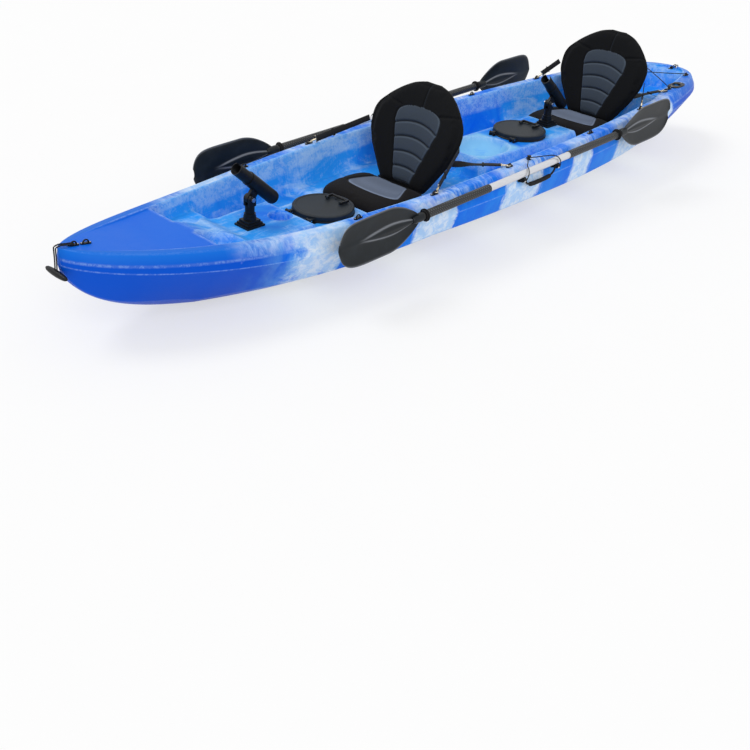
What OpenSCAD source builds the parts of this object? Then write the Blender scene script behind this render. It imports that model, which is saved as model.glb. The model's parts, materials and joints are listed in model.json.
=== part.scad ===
// Sit-on-top tandem kayak with two padded seats, two hatches, rod holders and two paddles.
// Millimetres. +X points to the bow, +Y to port, +Z up. The origin is on the floor under the middle.

/* [Hull] */
// Length from bow to stern
hull_l = 3700; // [3500:10:4000]
// Greatest width
hull_w = 800; // [760:5:880]
// Height of the gunwale above the keel amidships
gunwale_h = 299; // [280:1:330]
// Fall of the gunwale from amidships to the bow end, equal to its climb to the stern end
sheer_fall = 45; // [20:1:60]
// Lift of the gunwale over the forward half of the bow
bow_rise = 84; // [50:1:110]
// Length of the curved stem
stem_l = 724; // [500:1:850]
// Height of the foremost point of the stem
stem_h = 295; // [240:1:300]
// Length of the upswept stern bottom
stern_l = 750; // [600:1:850]
// Height of the lower edge of the transom
transom_z = 213; // [180:1:220]
// Height of the side chine amidships
chine_h = 143; // [120:1:160]
// Depth of the side crease below the gunwale
crease_drop = 76; // [60:1:90]
// Half width of the flat keel strip
keel_w = 60; // [45:1:70]
// Width of the gunwale rim
rim_w = 75; // [65:1:85]
// Extra rim width beside the tankwell
quarter_w = 40; // [30:1:50]

/* [Deck] */
// Depth of the footwells below the gunwale
well_drop = 150; // [140:1:160]
// Depth of the seat floors below the gunwale
seat_drop = 138; // [130:1:139]
// Depth of the step behind the foredeck
step_drop = 70; // [60:1:85]
// Dish of the foredeck
fore_dish = 6; // [4:1:20]
// Length of the foredeck
fore_deck_l = 465; // [440:1:510]
// Depth of the tankwell below the gunwale
tank_drop = 105; // [90:1:115]
// Half width of the centre console
console_w = 128; // [126:1:140]
// Depth of the front rod holder terrace below the gunwale
front_terrace_drop = 67; // [60:1:80]
// Depth of the front hatch terrace below the gunwale
front_hatch_drop = 112; // [104:1:118]
// Depth of the rear console top below the gunwale
rear_console_drop = 82; // [76:1:92]
// Radius of the cup recess
cup_r = 40; // [34:1:42]
// Depth of the cup recess
cup_d = 55; // [40:1:70]
// Half length of the moulded middle seat
bowl_r = 132; // [115:1:140]
// Depth of the moulded middle seat
bowl_d = 78; // [60:1:90]

/* [Hatches] */
// Place of the front hatch along the hull
front_hatch_x = 740; // [720:1:770]
// Place of the rear hatch along the hull
rear_hatch_x = -478; // [-500:1:-440]
// Radius of the hatch lid
lid_r = 118; // [108:1:122]
// Thickness of the hatch lid
lid_t = 14; // [10:1:16]
// Radius of the clear hatch opening
hatch_bore_r = 88; // [75:1:92]
// Depth of the hatch well
hatch_well_d = 85; // [60:1:95]

/* [Rod holders] */
// Side of the square base flange
rod_base_w = 80; // [72:1:84]
// Height of the pivot bolt above the deck
rod_pivot_h = 100; // [92:1:115]
// Outer radius of the cradle tube
rod_tube_r = 25; // [23:0.5:27]
// Bore radius of the cradle tube
rod_bore_r = 20; // [17:0.5:20.5]
// Length of the cradle tube
rod_tube_l = 216; // [180:1:240]
// Tilt of the cradle tube above level
rod_tilt = 41; // [30:1:50]
// Bore radius of the flush rod holders
flush_bore_r = 21; // [18:0.5:22]
// Length of the flush rod holder tubes
flush_l = 92; // [80:1:100]

/* [Seats] */
// Width of the seat pads
pad_w = 400; // [360:1:420]
// Length of the seat pads
pad_l = 285; // [270:1:300]
// Thickness of the seat pads at the crown
pad_t = 52; // [40:1:56]
// Height of the backrests along their lean
back_h = 436; // [400:1:460]
// Greatest half width of the backrests
back_w = 238; // [215:1:245]
// Thickness of the backrests
back_t = 44; // [34:1:48]
// Lean of the backrests behind upright
back_lean = 20; // [14:1:24]
// Width of the webbing straps
strap_w = 25; // [20:1:30]
// Thickness of the webbing straps
strap_t = 2; // [1.5:0.1:3]

/* [Paddles] */
// Radius of the bare shaft
shaft_r = 14; // [13:0.5:15]
// Wall of the shaft
shaft_wall = 1.5; // [1:0.1:2.5]
// Distance from the middle of the paddle to the drip rings
ring_s = 626; // [600:1:650]
// Half length of the paddle
paddle_half_l = 1057; // [1020:1:1090]
// Half length of the bare middle of the shaft
bare_s = 261; // [220:1:300]
// Width of the blades
blade_w = 176; // [150:1:185]
// Distance of the shafts outside the widest part of the hull
shaft_out = 10; // [8:1:14]
// Height of the shafts above the keel amidships
shaft_z = 288; // [284:1:294]

/* [Handles and cords] */
// Distance between the ends of a side handle
handle_span = 227; // [200:1:250]
// Radius of the handle grip
grip_r = 9; // [8:0.5:11]
// Diameter of the shock cords
cord_d = 4; // [3:0.5:5]
// Length of the bow and stern toggles
toggle_l = 110; // [90:1:130]
// Radius of the toggles
toggle_r = 11; // [9:0.5:13]

/* [Hidden] */

// Colours
royal = [0.05, 0.24, 0.72];
black = [0.06, 0.06, 0.07];
slate = [0.16, 0.18, 0.22];
silver = [0.78, 0.79, 0.80];
brass = [0.75, 0.62, 0.38];

// Clearances between seated, turning and pinned pieces
seat_gap = 0.3;
turn_gap = 0.4;
pin_gap = 0.05;
press_gap = 0.02;

// Lines plan
half_l = hull_l / 2;
half_w = hull_w / 2;
beam_x = 150;
bow_fullness = 0.58;
stern_fullness = 0.36;
stern_drop = 18;
chine_aft_rise = 81;
chine_bow_dip = 65;
stem_band = 50;
gunwale_in = 9;
bevel_run = 36;
bevel_drop = 36;
bevel_in = 6;
tip_y = 8;

function smooth(t) = let (k = min(1, max(0, t))) k * k * (3 - 2 * k);
function ramp(x, from, to) = smooth((x - from) / (to - from));
function mix(a, b, t) = a + (b - a) * t;

function share(x) = x > beam_x ? (x - beam_x) / (half_l - beam_x) : (beam_x - x) / (half_l + beam_x);
function beam(x) = half_w * pow(1 - pow(share(x), 2), x > beam_x ? bow_fullness : stern_fullness);
function sheer(x) = let (s = x / half_l)
  gunwale_h - sheer_fall * s + bow_rise * pow(max(0, 2 * s - 1), 2)
  - stern_drop * pow(max(0, -5 * s - 4), 2);
function sheer_slope(x) = atan((sheer(x - 5) - sheer(x + 5)) / 10);
function keel(x) =
  x > half_l - stem_l ? stem_h * (1 - sqrt(1 - pow((x - half_l + stem_l) / stem_l, 2))) :
  x < stern_l - half_l ? transom_z * pow((stern_l - half_l - x) / stern_l, 2.2) : 0;
function chine_z(x) = let (s = x / half_l)
  max(chine_h + chine_aft_rise * pow(max(0, (-s - 0.15) / 0.85), 1.6)
      - chine_bow_dip * smooth((s - 0.25) / 0.4),
    keel(x) + 2 + stem_band * (1 - smooth((s - 0.8) / 0.2)) * smooth((s - 0.5) / 0.3));
function chine_y(x) = let (s = x / half_l)
  beam(x) * (0.95 - 0.45 * smooth((s - 0.3) / 0.6) - 0.15 * smooth((-s - 0.4) / 0.6));
function crease_z(x) = let (s = x / half_l) sheer(x) - crease_drop + 20 * s * s;
function rim_top_y(x) = let (b = beam(x)) b * b / (bevel_run + b);
function rim(x) = rim_w + quarter_w * ramp(x, bulkhead_x, tank_x);
function inner_y(x) = let (b = max(tip_y, beam(x) - gunwale_in)) b * b / (b + rim(x));

// Places along the hull, chained from the two hatches
hinge_reach = 18;
piece_gap = 6;
cup_gap = 42;
front_rod_gap = 62;
rear_rod_gap = 50;
cup_x = front_hatch_x + lid_r + hinge_reach + cup_gap + cup_r;
front_rod_x = cup_x + cup_r + front_rod_gap + rod_base_w / 2;
front_pad_x = front_hatch_x - lid_r - piece_gap;
rear_rod_x = rear_hatch_x - lid_r - rear_rod_gap - rod_base_w / 2;
rear_pad_x = rear_rod_x - rod_base_w / 2 - piece_gap;
bowl_x = rear_hatch_x + lid_r + hinge_reach + 10 + bowl_r;
step_x = half_l - fore_deck_l;
foot_x = front_rod_x + rod_base_w / 2 + 40;
bulkhead_x = rear_pad_x - pad_l - 165;
tank_x = bulkhead_x - 165;
tank_end_x = 120 - half_l;
step_run = 35;

// Heights of the deck
front_terrace_z = sheer(front_rod_x) - front_terrace_drop;
front_hatch_z = sheer(front_hatch_x) - front_hatch_drop;
rear_console_z = sheer(rear_hatch_x) - rear_console_drop;
step_z = sheer(step_x) - step_drop;
front_well_z = sheer(front_hatch_x) - well_drop;
rear_well_z = sheer(bowl_x) - well_drop;
front_seat_z = sheer(front_pad_x - pad_l / 2) - seat_drop;
rear_seat_z = sheer(rear_pad_x - pad_l / 2) - seat_drop;
tank_z = sheer((tank_x + tank_end_x) / 2) - tank_drop;
aft_deck_drop = 26;
stern_deck_drop = 12;

// Deck lines as [place, height] from the bow aft, with soft steps between them
seat_back_x = front_pad_x - pad_l - 125;
floor_line = [
  [step_x, sheer(step_x) - fore_dish], [step_x - step_run, step_z],
  [foot_x + 10, step_z], [foot_x - 40, front_well_z],
  [front_pad_x + 36, front_well_z], [front_pad_x + 4, front_seat_z],
  [seat_back_x, front_seat_z], [seat_back_x - 40, rear_well_z],
  [rear_pad_x + 36, rear_well_z], [rear_pad_x + 4, rear_seat_z],
  [bulkhead_x, rear_seat_z], [bulkhead_x - 70, sheer(bulkhead_x) - aft_deck_drop],
  [tank_x + 40, sheer(tank_x) - aft_deck_drop], [tank_x, tank_z],
  [tank_end_x, tank_z], [tank_end_x - 40, sheer(tank_end_x) - stern_deck_drop],
  [-half_l, sheer(-half_l) - stern_deck_drop]];
terrace_edge_x = front_hatch_x + lid_r + hinge_reach + 8;
bowl_front_x = bowl_x + bowl_r + 8;
spine_x = foot_x + 90;
spine_w = 40;
console_line = [
  [step_x, sheer(step_x) - fore_dish], [spine_x, sheer(spine_x) - 30], [foot_x - 10, front_terrace_z],
  [terrace_edge_x + 30, front_terrace_z], [terrace_edge_x, front_hatch_z],
  [front_pad_x + 4, front_hatch_z], [front_pad_x, front_seat_z],
  [seat_back_x, front_seat_z], [seat_back_x - 40, rear_well_z],
  [bowl_front_x + 40, rear_well_z], [bowl_front_x, rear_console_z],
  [rear_pad_x + 4, rear_console_z], [rear_pad_x, rear_seat_z],
  [bulkhead_x, rear_seat_z]];
function along(line, x, i = 0) =
  i >= len(line) - 1 ? line[len(line) - 1][1] :
  x >= line[i][0] ? line[i][1] :
  x >= line[i + 1][0] ? mix(line[i][1], line[i + 1][1], ramp(x, line[i][0], line[i + 1][0])) :
  along(line, x, i + 1);
function floor_z(x) = x > step_x
  ? sheer(x) - fore_dish * ramp(x, half_l - 120, half_l - 320) : along(floor_line, x);
function centre_z(x) = x > step_x || x < bulkhead_x ? floor_z(x) : along(console_line, x);
wall_lean = 0.26;
wall_fillet = 8;
console_run = 34;
function wall_w(x) = min(wall_lean * (sheer(x) - floor_z(x)) + wall_fillet, 0.6 * inner_y(x));
function floor_y(x) = inner_y(x) - wall_w(x);
function console_y(x) = min(0.6 * floor_y(x), mix(console_w, spine_w, ramp(x, foot_x - 10, step_x - 60)));
function console_side(x) = min(console_run, 0.5 * (floor_y(x) - console_y(x)));
function deck_z(x, y) = let (top = sheer(x),
    base = mix(centre_z(x), floor_z(x), smooth((abs(y) - console_y(x)) / console_side(x))))
  top - (top - base) * smooth((inner_y(x) - abs(y)) / wall_w(x));

// Half section from the keel centre round to the deck centre, as [y, z]
function half_section(x) = let (b = beam(x), k = keel(x), top = sheer(x), cy = chine_y(x), cz = chine_z(x),
    crease = max(crease_z(x), cz + 3), bevel_z = max(top - bevel_drop, mix(crease, top, 0.1)),
    iy = inner_y(x), cw = console_y(x), cs = console_side(x),
    deck_y = concat([for (i = [0:4]) iy - wall_w(x) * i / 4], [mix(floor_y(x), cw + cs, 0.5)],
      [for (i = [2:-1:0]) cw + cs * i / 2], [cw / 2, 0]))
  concat([[0, k], [min(keel_w, 0.3 * cy), k], [0.72 * cy, mix(k, cz, 0.52)], [cy, cz],
      [b, crease], [max(b * 0.6, b - bevel_in), bevel_z],
      [mix(max(b * 0.6, b - bevel_in), rim_top_y(x), 0.4), mix(bevel_z, top, 0.56)],
      [rim_top_y(x), top], [mix(iy, rim_top_y(x), 0.15), top]],
    [for (y = deck_y) [y, deck_z(x, y)]]);
function ring(x) = let (h = half_section(x), n = len(h))
  concat([for (p = h) [x, p[0], p[1]]], [for (i = [n - 2:-1:1]) [x, -h[i][0], h[i][1]]]);

// Stations: every place where a deck line bends, filled in to an even spacing
end_steps = [1.5, 5, 12, 26, 50, 88, 140];
line_breaks = [for (p = concat(floor_line, console_line)) if (abs(p[0]) < half_l - 150) p[0]];
function sorted(v) = len(v) < 2 ? v : let (m = v[0])
  concat(sorted([for (a = v) if (a > m) a]), [m], sorted([for (a = v) if (a < m) a]));
key_x = sorted(concat([for (d = end_steps) half_l - d], line_breaks, [for (d = end_steps) d - half_l]));
station_gap = 105;
function fill_count(span) = max(span > 31 && span < 60 ? 2 : 1, ceil(span / station_gap));
stations = concat([for (i = [0:len(key_x) - 2]) let (span = key_x[i] - key_x[i + 1], n = fill_count(span))
    for (k = [0:n - 1]) key_x[i] - span * k / n], [key_x[len(key_x) - 1]]);

// A closed skin over equal rings of points
module skin(rings) {
  n = len(rings[0]);
  m = len(rings);
  faces = concat(
    [for (i = [0:m - 2]) for (j = [0:n - 1]) let (k = (j + 1) % n)
      each [[i * n + j, i * n + k, (i + 1) * n + k], [i * n + j, (i + 1) * n + k, (i + 1) * n + j]]],
    [[for (j = [n - 1:-1:0]) j]],
    [[for (j = [0:n - 1]) (m - 1) * n + j]]);
  polyhedron(points = [for (r = rings) each r], faces = faces, convexity = 12);
}

// A round tube swept along a list of points
function unit(v) = v / norm(v);
function heading(p, i) = unit(p[min(i + 1, len(p) - 1)] - p[max(i - 1, 0)]);
function side_of(d) = unit(cross(d, abs(d[2]) < 0.8 ? [0, 0, 1] : [0, 1, 0]));
function lift_of(d) = cross(side_of(d), d);
function tube_rings(p, r, sides) = [for (i = [0:len(p) - 1]) let (d = heading(p, i))
  [for (k = [0:sides - 1]) p[i] + r * (cos(360 * k / sides) * side_of(d) + sin(360 * k / sides) * lift_of(d))]];
module tube(p, r, sides = 8) {
  skin(tube_rings(p, r, sides));
}
function spline(a, b, c, d, t) = 0.5 * (2 * b + (c - a) * t + (2 * a - 5 * b + 4 * c - d) * t * t
  + (3 * b - a - 3 * c + d) * t * t * t);
function curve(p, steps) = concat([for (i = [0:len(p) - 2]) for (k = [0:steps - 1])
  spline(p[max(i - 1, 0)], p[i], p[i + 1], p[min(i + 2, len(p) - 1)], k / steps)], [p[len(p) - 1]]);
function reversed(v) = [for (i = [len(v) - 1:-1:0]) v[i]];

// Places of the fittings that the hull carries recesses for
scupper_r = 17;
scupper_d = 16;
scupper_places = [for (s = [-1, 1]) each [
  [cup_x, s * mix(console_y(cup_x) + console_side(cup_x), floor_y(cup_x), 0.5)],
  [front_pad_x - pad_l - 75, s * 150],
  [bowl_x, s * mix(console_y(bowl_x) + console_side(bowl_x), floor_y(bowl_x), 0.5)],
  [(tank_x + tank_end_x) / 2, s * 70]]];
module at_scuppers() {
  for (p = scupper_places) translate([p[0], p[1], floor_z(p[0])]) children();
}
flush_x = mix(tank_x, tank_end_x, 0.325);
flush_y = mix(inner_y(flush_x), rim_top_y(flush_x), 0.5);
flush_wall = 4;
flush_tilt = 24;
flush_t = 5;
module at_flush(side) {
  translate([flush_x, side * flush_y, sheer(flush_x)]) rotate([0, sheer_slope(flush_x), 0]) children();
}
shaft_pitch = 2.09;
shaft_y = half_w + shaft_out;
saddle_set_back = 62;
saddle_x = [for (s = [1, -1]) s * handle_span / 2 - saddle_set_back];
saddle_r = 10;
saddle_reach = 26;
function shaft_height(x) = shaft_z - x * tan(shaft_pitch);
function saddle_z(x) = shaft_height(x) - (shaft_r + saddle_r + turn_gap) / cos(shaft_pitch);
function saddle_face(x) = beam(x) - gunwale_in - 2;

// Moulded hull
module well(x, z, top_r, low_r, depth) {
  translate([x, 0, z]) hull() {
    translate([0, 0, 4]) cylinder(r = top_r, h = 1, $fn = 40);
    translate([0, 0, -depth]) cylinder(r = low_r, h = 1, $fn = 40);
  }
}
bowl_fore_r = 95;
bowl_aft_r = 105;
module bowl_scoop() {
  translate([bowl_x, 0, rear_console_z + 12]) hull() {
    translate([bowl_r - bowl_fore_r, 0, 0]) scale([1, 1.15, (bowl_d + 12) / bowl_fore_r])
      sphere(r = bowl_fore_r, $fn = 28);
    translate([bowl_aft_r - bowl_r, 0, 0]) scale([1, 1.05, (bowl_d - 10) / bowl_aft_r])
      sphere(r = bowl_aft_r, $fn = 28);
  }
}
module moulded_hull() {
  color(royal) difference() {
    skin([for (x = stations) ring(x)]);
    well(front_hatch_x, front_hatch_z, hatch_bore_r + 9, hatch_bore_r + 3, hatch_well_d);
    well(rear_hatch_x, rear_console_z, hatch_bore_r + 9, hatch_bore_r + 3, hatch_well_d);
    well(cup_x, front_terrace_z, cup_r + 3, cup_r - 5, cup_d);
    bowl_scoop();
    at_scuppers() well(0, 0, scupper_r + 1.5, scupper_r - 1, scupper_d);
    for (side = [-1, 1]) at_flush(side) rotate([0, -flush_tilt, 0]) translate([0, 0, -flush_l - 8])
      cylinder(r = flush_bore_r + flush_wall + 0.8, h = flush_l + 60, $fn = 40);
    for (side = [-1, 1], x = saddle_x) translate([x, side * saddle_face(x), saddle_z(x)])
      rotate([-90 * side, 0, 0]) cylinder(r = saddle_r + 6, h = 40, $fn = 32);
  }
}
module scupper_plugs() {
  color(black) at_scuppers() {
    translate([0, 0, 2 - scupper_d]) cylinder(r = scupper_r - 2.4, h = scupper_d, $fn = 40);
    translate([0, 0, 1]) rotate_extrude($fn = 40) translate([scupper_r - 6, 1]) circle(r = 2.5, $fn = 24);
  }
}

// Hatches: flanged ring, seal, hinged lid, hinge pins and a lift handle
hatch_flange_r = lid_r + 2;
hatch_flange_t = 6;
sleeve_l = 24;
sleeve_t = 4;
seal_r = hatch_bore_r + 13;
seal_t = 4;
lid_z = hatch_flange_t + seal_t + 0.2;
hinge_x = lid_r + 8;
hinge_z = hatch_flange_t + 8;
hinge_y = 56;
hinge_pin_r = 2.5;
knuckle_r = 6;
knuckle_w = 12;
knuckle_gap = 0.6;
module y_rod(r, from, to) {
  translate([0, from, 0]) rotate([-90, 0, 0]) cylinder(r = r, h = to - from, $fn = 48);
}
module hatch_ring(x, z) {
  color(black) translate([x, 0, z + seat_gap]) {
    rotate_extrude($fn = 96) polygon([
      [hatch_bore_r, -sleeve_l], [hatch_bore_r + sleeve_t, -sleeve_l], [hatch_bore_r + sleeve_t, 0],
      [hatch_flange_r, 0], [hatch_flange_r, hatch_flange_t - 2], [hatch_flange_r - 2, hatch_flange_t],
      [hatch_bore_r + sleeve_t, hatch_flange_t], [hatch_bore_r + sleeve_t, lid_z - 1],
      [hatch_bore_r, lid_z - 1]]);
    for (s = [-1, 1], k = [-1, 1])
      translate([0, s * hinge_y + k * (0.75 * knuckle_w + knuckle_gap) - knuckle_w / 4, 0]) difference() {
        union() {
          translate([hatch_flange_r - 22, 0, 0]) cube([22 + hinge_x - hatch_flange_r, knuckle_w / 2, 4]);
          translate([hinge_x - knuckle_r, 0, 0]) cube([2 * knuckle_r, knuckle_w / 2, hinge_z]);
          translate([hinge_x, 0, hinge_z]) y_rod(knuckle_r, 0, knuckle_w / 2);
        }
        translate([hinge_x, 0, hinge_z]) y_rod(hinge_pin_r + press_gap, -1, knuckle_w);
      }
  }
}
module hatch_seal(x, z) {
  color(slate) translate([x, 0, z + seat_gap + hatch_flange_t + 0.1]) rotate_extrude($fn = 96)
    translate([seal_r, seal_t / 2]) circle(r = seal_t / 2, $fn = 32);
}
lift_x = 62 - lid_r;
lift_y = 34;
lift_reach = 32;
lift_bar_r = 4.5;
lift_arm_w = 6;
lug_w = 8;
lug_r = 6;
lug_z = lid_t + 6.5;
lift_pin_r = 3;
module hatch_lid(x, z) {
  color(black) translate([x, 0, z + seat_gap + lid_z]) difference() {
    union() {
      rotate_extrude($fn = 96) polygon([
        [0, 0], [lid_r - 6, 0], [lid_r - 6, -2.5], [lid_r, -2.5], [lid_r, lid_t - 3], [lid_r - 3, lid_t],
        [lid_r - 11, lid_t + 1], [lid_r - 15, lid_t - 1], [0, lid_t - 1]]);
      for (s = [-1, 1]) {
        translate([lid_r - 22, s * hinge_y - knuckle_w / 2, 1.8]) cube([22 + 5, knuckle_w, 4]);
        translate([hinge_x, s * hinge_y, hinge_z - lid_z])
          y_rod(knuckle_r - 0.5, -knuckle_w / 2, knuckle_w / 2);
        translate([lift_x - lug_r, s * lift_y - lug_w / 2, lid_t - 3])
          cube([2 * lug_r, lug_w, lug_z - lid_t + 3]);
        translate([lift_x, s * lift_y, lug_z]) y_rod(lug_r, -lug_w / 2, lug_w / 2);
      }
    }
    for (s = [-1, 1]) {
      translate([hinge_x, s * hinge_y, hinge_z - lid_z]) y_rod(hinge_pin_r + pin_gap, -knuckle_w, knuckle_w);
      translate([lift_x, s * lift_y, lug_z]) y_rod(lift_pin_r + pin_gap, -lug_w, lug_w);
    }
    translate([lift_x - lift_reach, 0, lid_t + 17]) sphere(r = 26, $fn = 64);
  }
}
module hatch_pins(x, z) {
  half = knuckle_w + knuckle_gap + 1;
  color(silver) for (s = [-1, 1]) translate([x + hinge_x, s * hinge_y, z + seat_gap + hinge_z])
    y_rod(hinge_pin_r, -half, half);
}
module hatch_handle(x, z) {
  arm_y = lift_y + lug_w / 2 + turn_gap;
  color(black) translate([x + lift_x, 0, z + seat_gap + lid_z + lug_z]) {
    for (s = [0, 1]) mirror([0, s, 0]) {
      y_rod(lug_r - 0.5, arm_y, arm_y + lift_arm_w);
      translate([-lift_reach, arm_y, -lift_bar_r]) cube([lift_reach, lift_arm_w, 2 * lift_bar_r]);
      y_rod(lift_pin_r, lift_y - lug_w / 2, arm_y + 1);
    }
    translate([-lift_reach, 0, 0]) y_rod(lift_bar_r, -arm_y - lift_arm_w, arm_y + lift_arm_w);
  }
}

// Rod holders: stepped base, swivelling post with a fork, pivot bolt and cradle tube
rod_base_h = 36;
rod_spigot_r = 13;
rod_post_r = 17;
rod_fork_w = 10;
rod_fin_t = 12;
rod_bolt_r = 4;
rod_axis_off = 53;
rod_floor = 8;
module plate(l, w, from, to) {
  translate([-l / 2, -w / 2, from]) cube([l, w, to - from]);
}
module rod_base(x, z) {
  color(black) translate([x, 0, z + seat_gap]) difference() {
    union() {
      plate(rod_base_w, rod_base_w - 8, 0, 7);
      plate(rod_base_w - 12, rod_base_w - 20, 6, 15);
      plate(rod_base_w - 24, rod_base_w - 30, 14, 24);
      translate([0, 0, 20]) cylinder(r = rod_post_r + 6, h = rod_base_h - 20, $fn = 64);
    }
    translate([0, 0, rod_floor]) cylinder(r = rod_spigot_r + pin_gap, h = rod_base_h, $fn = 64);
  }
}
module rod_post(x, z) {
  color(black) translate([x, 0, z + seat_gap]) difference() {
    union() {
      translate([0, 0, rod_floor + turn_gap])
        cylinder(r = rod_spigot_r, h = rod_base_h - rod_floor + 2, $fn = 64);
      translate([0, 0, rod_base_h + turn_gap]) cylinder(r = rod_post_r + 4, h = 10, $fn = 64);
      translate([0, 0, rod_base_h + 10])
        cylinder(r = rod_post_r, h = rod_pivot_h - rod_base_h - 32, $fn = 64);
      for (s = [0, 1]) mirror([0, s, 0]) translate([0, rod_fin_t / 2 + turn_gap, 0]) {
        translate([2 - rod_post_r, 0, rod_pivot_h - 26]) cube([2 * rod_post_r - 4, rod_fork_w, 26]);
        translate([0, 0, rod_pivot_h]) y_rod(rod_post_r - 2, 0, rod_fork_w);
      }
    }
    translate([0, 0, rod_pivot_h]) y_rod(rod_bolt_r + press_gap, -30, 30);
  }
}
module rod_bolt(x, z) {
  half = rod_fin_t / 2 + 2 * turn_gap + rod_fork_w;
  color(silver) translate([x, 0, z + seat_gap + rod_pivot_h]) {
    y_rod(rod_bolt_r, -half, half);
    y_rod(rod_bolt_r + 4, half - 0.2, half + 6);
    y_rod(rod_bolt_r + 3.5, -half - 7, 0.2 - half);
  }
}
module x_rod(r, from, to) {
  translate([from, 0, 0]) rotate([0, 90, 0]) cylinder(r = r, h = to - from, $fn = 64);
}
module rod_tube(x, z) {
  low = -0.42 * rod_tube_l;
  top = low + rod_tube_l;
  thick_top = low + 0.68 * rod_tube_l;
  color(black) translate([x, 0, z + seat_gap + rod_pivot_h]) rotate([0, -rod_tilt, 0]) difference() {
    union() {
      translate([0, 0, rod_axis_off]) {
        x_rod(rod_tube_r, low, thick_top);
        x_rod(rod_tube_r - 2.5, low, top);
        x_rod(rod_tube_r - 2, low - 8, low + 1);
      }
      translate([-17, -rod_fin_t / 2, 0]) cube([34, rod_fin_t, rod_axis_off - rod_tube_r + 4]);
      y_rod(17, -rod_fin_t / 2, rod_fin_t / 2);
    }
    translate([0, 0, rod_axis_off]) x_rod(rod_bore_r, low - 2, top + 10);
    y_rod(rod_bolt_r + pin_gap, -20, 20);
    translate([thick_top + 8, -11, rod_axis_off]) cube([rod_tube_l, 22, 40]);
  }
}
module flush_holder(side) {
  flange_r = flush_bore_r + flush_wall + 3;
  color(black) at_flush(side) difference() {
    union() {
      translate([0, 0, seat_gap]) {
        for (k = [-1, 1]) translate([k * 26, 0, 0]) cylinder(r = flange_r, h = flush_t, $fn = 64);
        translate([-26, -flange_r, 0]) cube([52, 2 * flange_r, flush_t]);
      }
      rotate([0, -flush_tilt, 0]) translate([0, 0, -flush_l])
        cylinder(r = flush_bore_r + flush_wall, h = flush_l + 2, $fn = 64);
    }
    rotate([0, -flush_tilt, 0]) translate([0, 0, flush_t - flush_l])
      cylinder(r = flush_bore_r, h = flush_l + 60, $fn = 64);
    translate([-100, -100, flush_t + seat_gap]) cube([200, 200, 60]);
  }
}

// Seats: a quilted pad and a quilted backrest, each between a front and a rear sheet of points
module cushion(front, rear) {
  m = len(front);
  n = len(front[0]);
  base = m * n;
  edge = concat([for (j = [0:n - 2]) j], [for (i = [0:m - 2]) i * n + n - 1],
    [for (j = [n - 1:-1:1]) (m - 1) * n + j], [for (i = [m - 1:-1:1]) i * n]);
  faces = concat(
    [for (i = [0:m - 2]) for (j = [0:n - 2]) let (a = i * n + j)
      each [[a, a + n, a + n + 1], [a, a + n + 1, a + 1]]],
    [for (i = [0:m - 2]) for (j = [0:n - 2]) let (a = base + i * n + j)
      each [[a, a + n + 1, a + n], [a, a + 1, a + n + 1]]],
    [for (q = [0:len(edge) - 1]) let (a = edge[q], b = edge[(q + 1) % len(edge)])
      each [[a, b, base + b], [a, base + b, base + a]]]);
  polyhedron(points = concat([for (r = front) each r], [for (r = rear) each r]), faces = faces, convexity = 6);
}
hinge_h = 52;
pad_set_back = 24;
front_pivot = [front_pad_x - pad_l - pad_set_back, 0, front_seat_z + pad_t + 10];
rear_pivot = [rear_pad_x - pad_l - pad_set_back, 0, rear_seat_z + pad_t + 10];
function on_back(pivot, t, y, h) = pivot + [t * cos(back_lean) - (h - hinge_h) * sin(back_lean), y,
  t * sin(back_lean) + (h - hinge_h) * cos(back_lean)];
back_outline = [[0, 0.52], [0.1, 0.66], [0.3, 0.87], [0.5, 0.985], [0.6, 1], [0.7, 0.97], [0.8, 0.9],
  [0.88, 0.8], [0.95, 0.62], [1, 0.4]];
function outline_at(line, v, i = 0) = v <= line[i + 1][0] || i == len(line) - 2
  ? mix(line[i][1], line[i + 1][1], (v - line[i][0]) / (line[i + 1][0] - line[i][0]))
  : outline_at(line, v, i + 1);
function back_half(v) = back_w * outline_at(back_outline, v);
back_wing = 42;
back_edge_t = 7;
back_cols = 16;
back_rows = 24;
panel_low = 0.13;
panel_top = 0.77;
channel_count = 5;
channel_d = 6;
panel_rise = 4;
front_share = 0.62;
function panel_half(v) = mix(56, 98, smooth((v - panel_low) / 0.45))
  * sqrt(1 - pow(min(1, max(0, (v - 0.6) / 0.17)), 2));
function in_panel(v, y) = smooth((panel_half(v) - abs(y)) / 20 + 0.5) * smooth((v - panel_low) / 0.03);
function channel(v, y) = let (bow = 0.1 * pow(y / back_w, 2))
  pow(cos(180 * channel_count * (v + bow - panel_low) / (panel_top - panel_low)), 6);
function puff(u, v) = sqrt((1 - pow(u, 4)) * (1 - pow(2 * v - 1, 8)));
function back_front(u, v, y) = front_share * back_t * puff(u, v)
  + in_panel(v, y) * (panel_rise - channel_d * channel(v, y));
function back_rear(u, v) = (1 - front_share) * back_t * puff(u, v);
function back_sag(y) = back_wing * pow(y / back_w, 2) - front_share * back_t - 6;
module seat_back(pivot) {
  us = [for (j = [0:back_cols]) sin(90 * (2 * j / back_cols - 1))];
  vs = [for (i = [0:back_rows]) i / back_rows];
  front = [for (v = vs) [for (u = us) let (y = u * back_half(v))
    on_back(pivot, back_sag(y) + back_edge_t / 2 + back_front(u, v, y), y, v * back_h)]];
  rear = [for (v = vs) [for (u = us) let (y = u * back_half(v))
    on_back(pivot, back_sag(y) - back_edge_t / 2 - back_rear(u, v), y, v * back_h)]];
  color(black) cushion(front, rear);
}
pad_cols = 14;
pad_rows = 14;
pad_edge_t = 8;
pad_lift = 1;
pad_slope = 0.2;
function pad_half(v) = pad_w / 2 * (0.9 + 0.1 * sin(180 * v) - 0.16 * pow(max(0, 2 * v - 1), 4));
function pad_puff(u, v) = pow((1 - pow(abs(u), 5)) * (1 - pow(2 * v - 1, 6)), 0.45);
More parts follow.
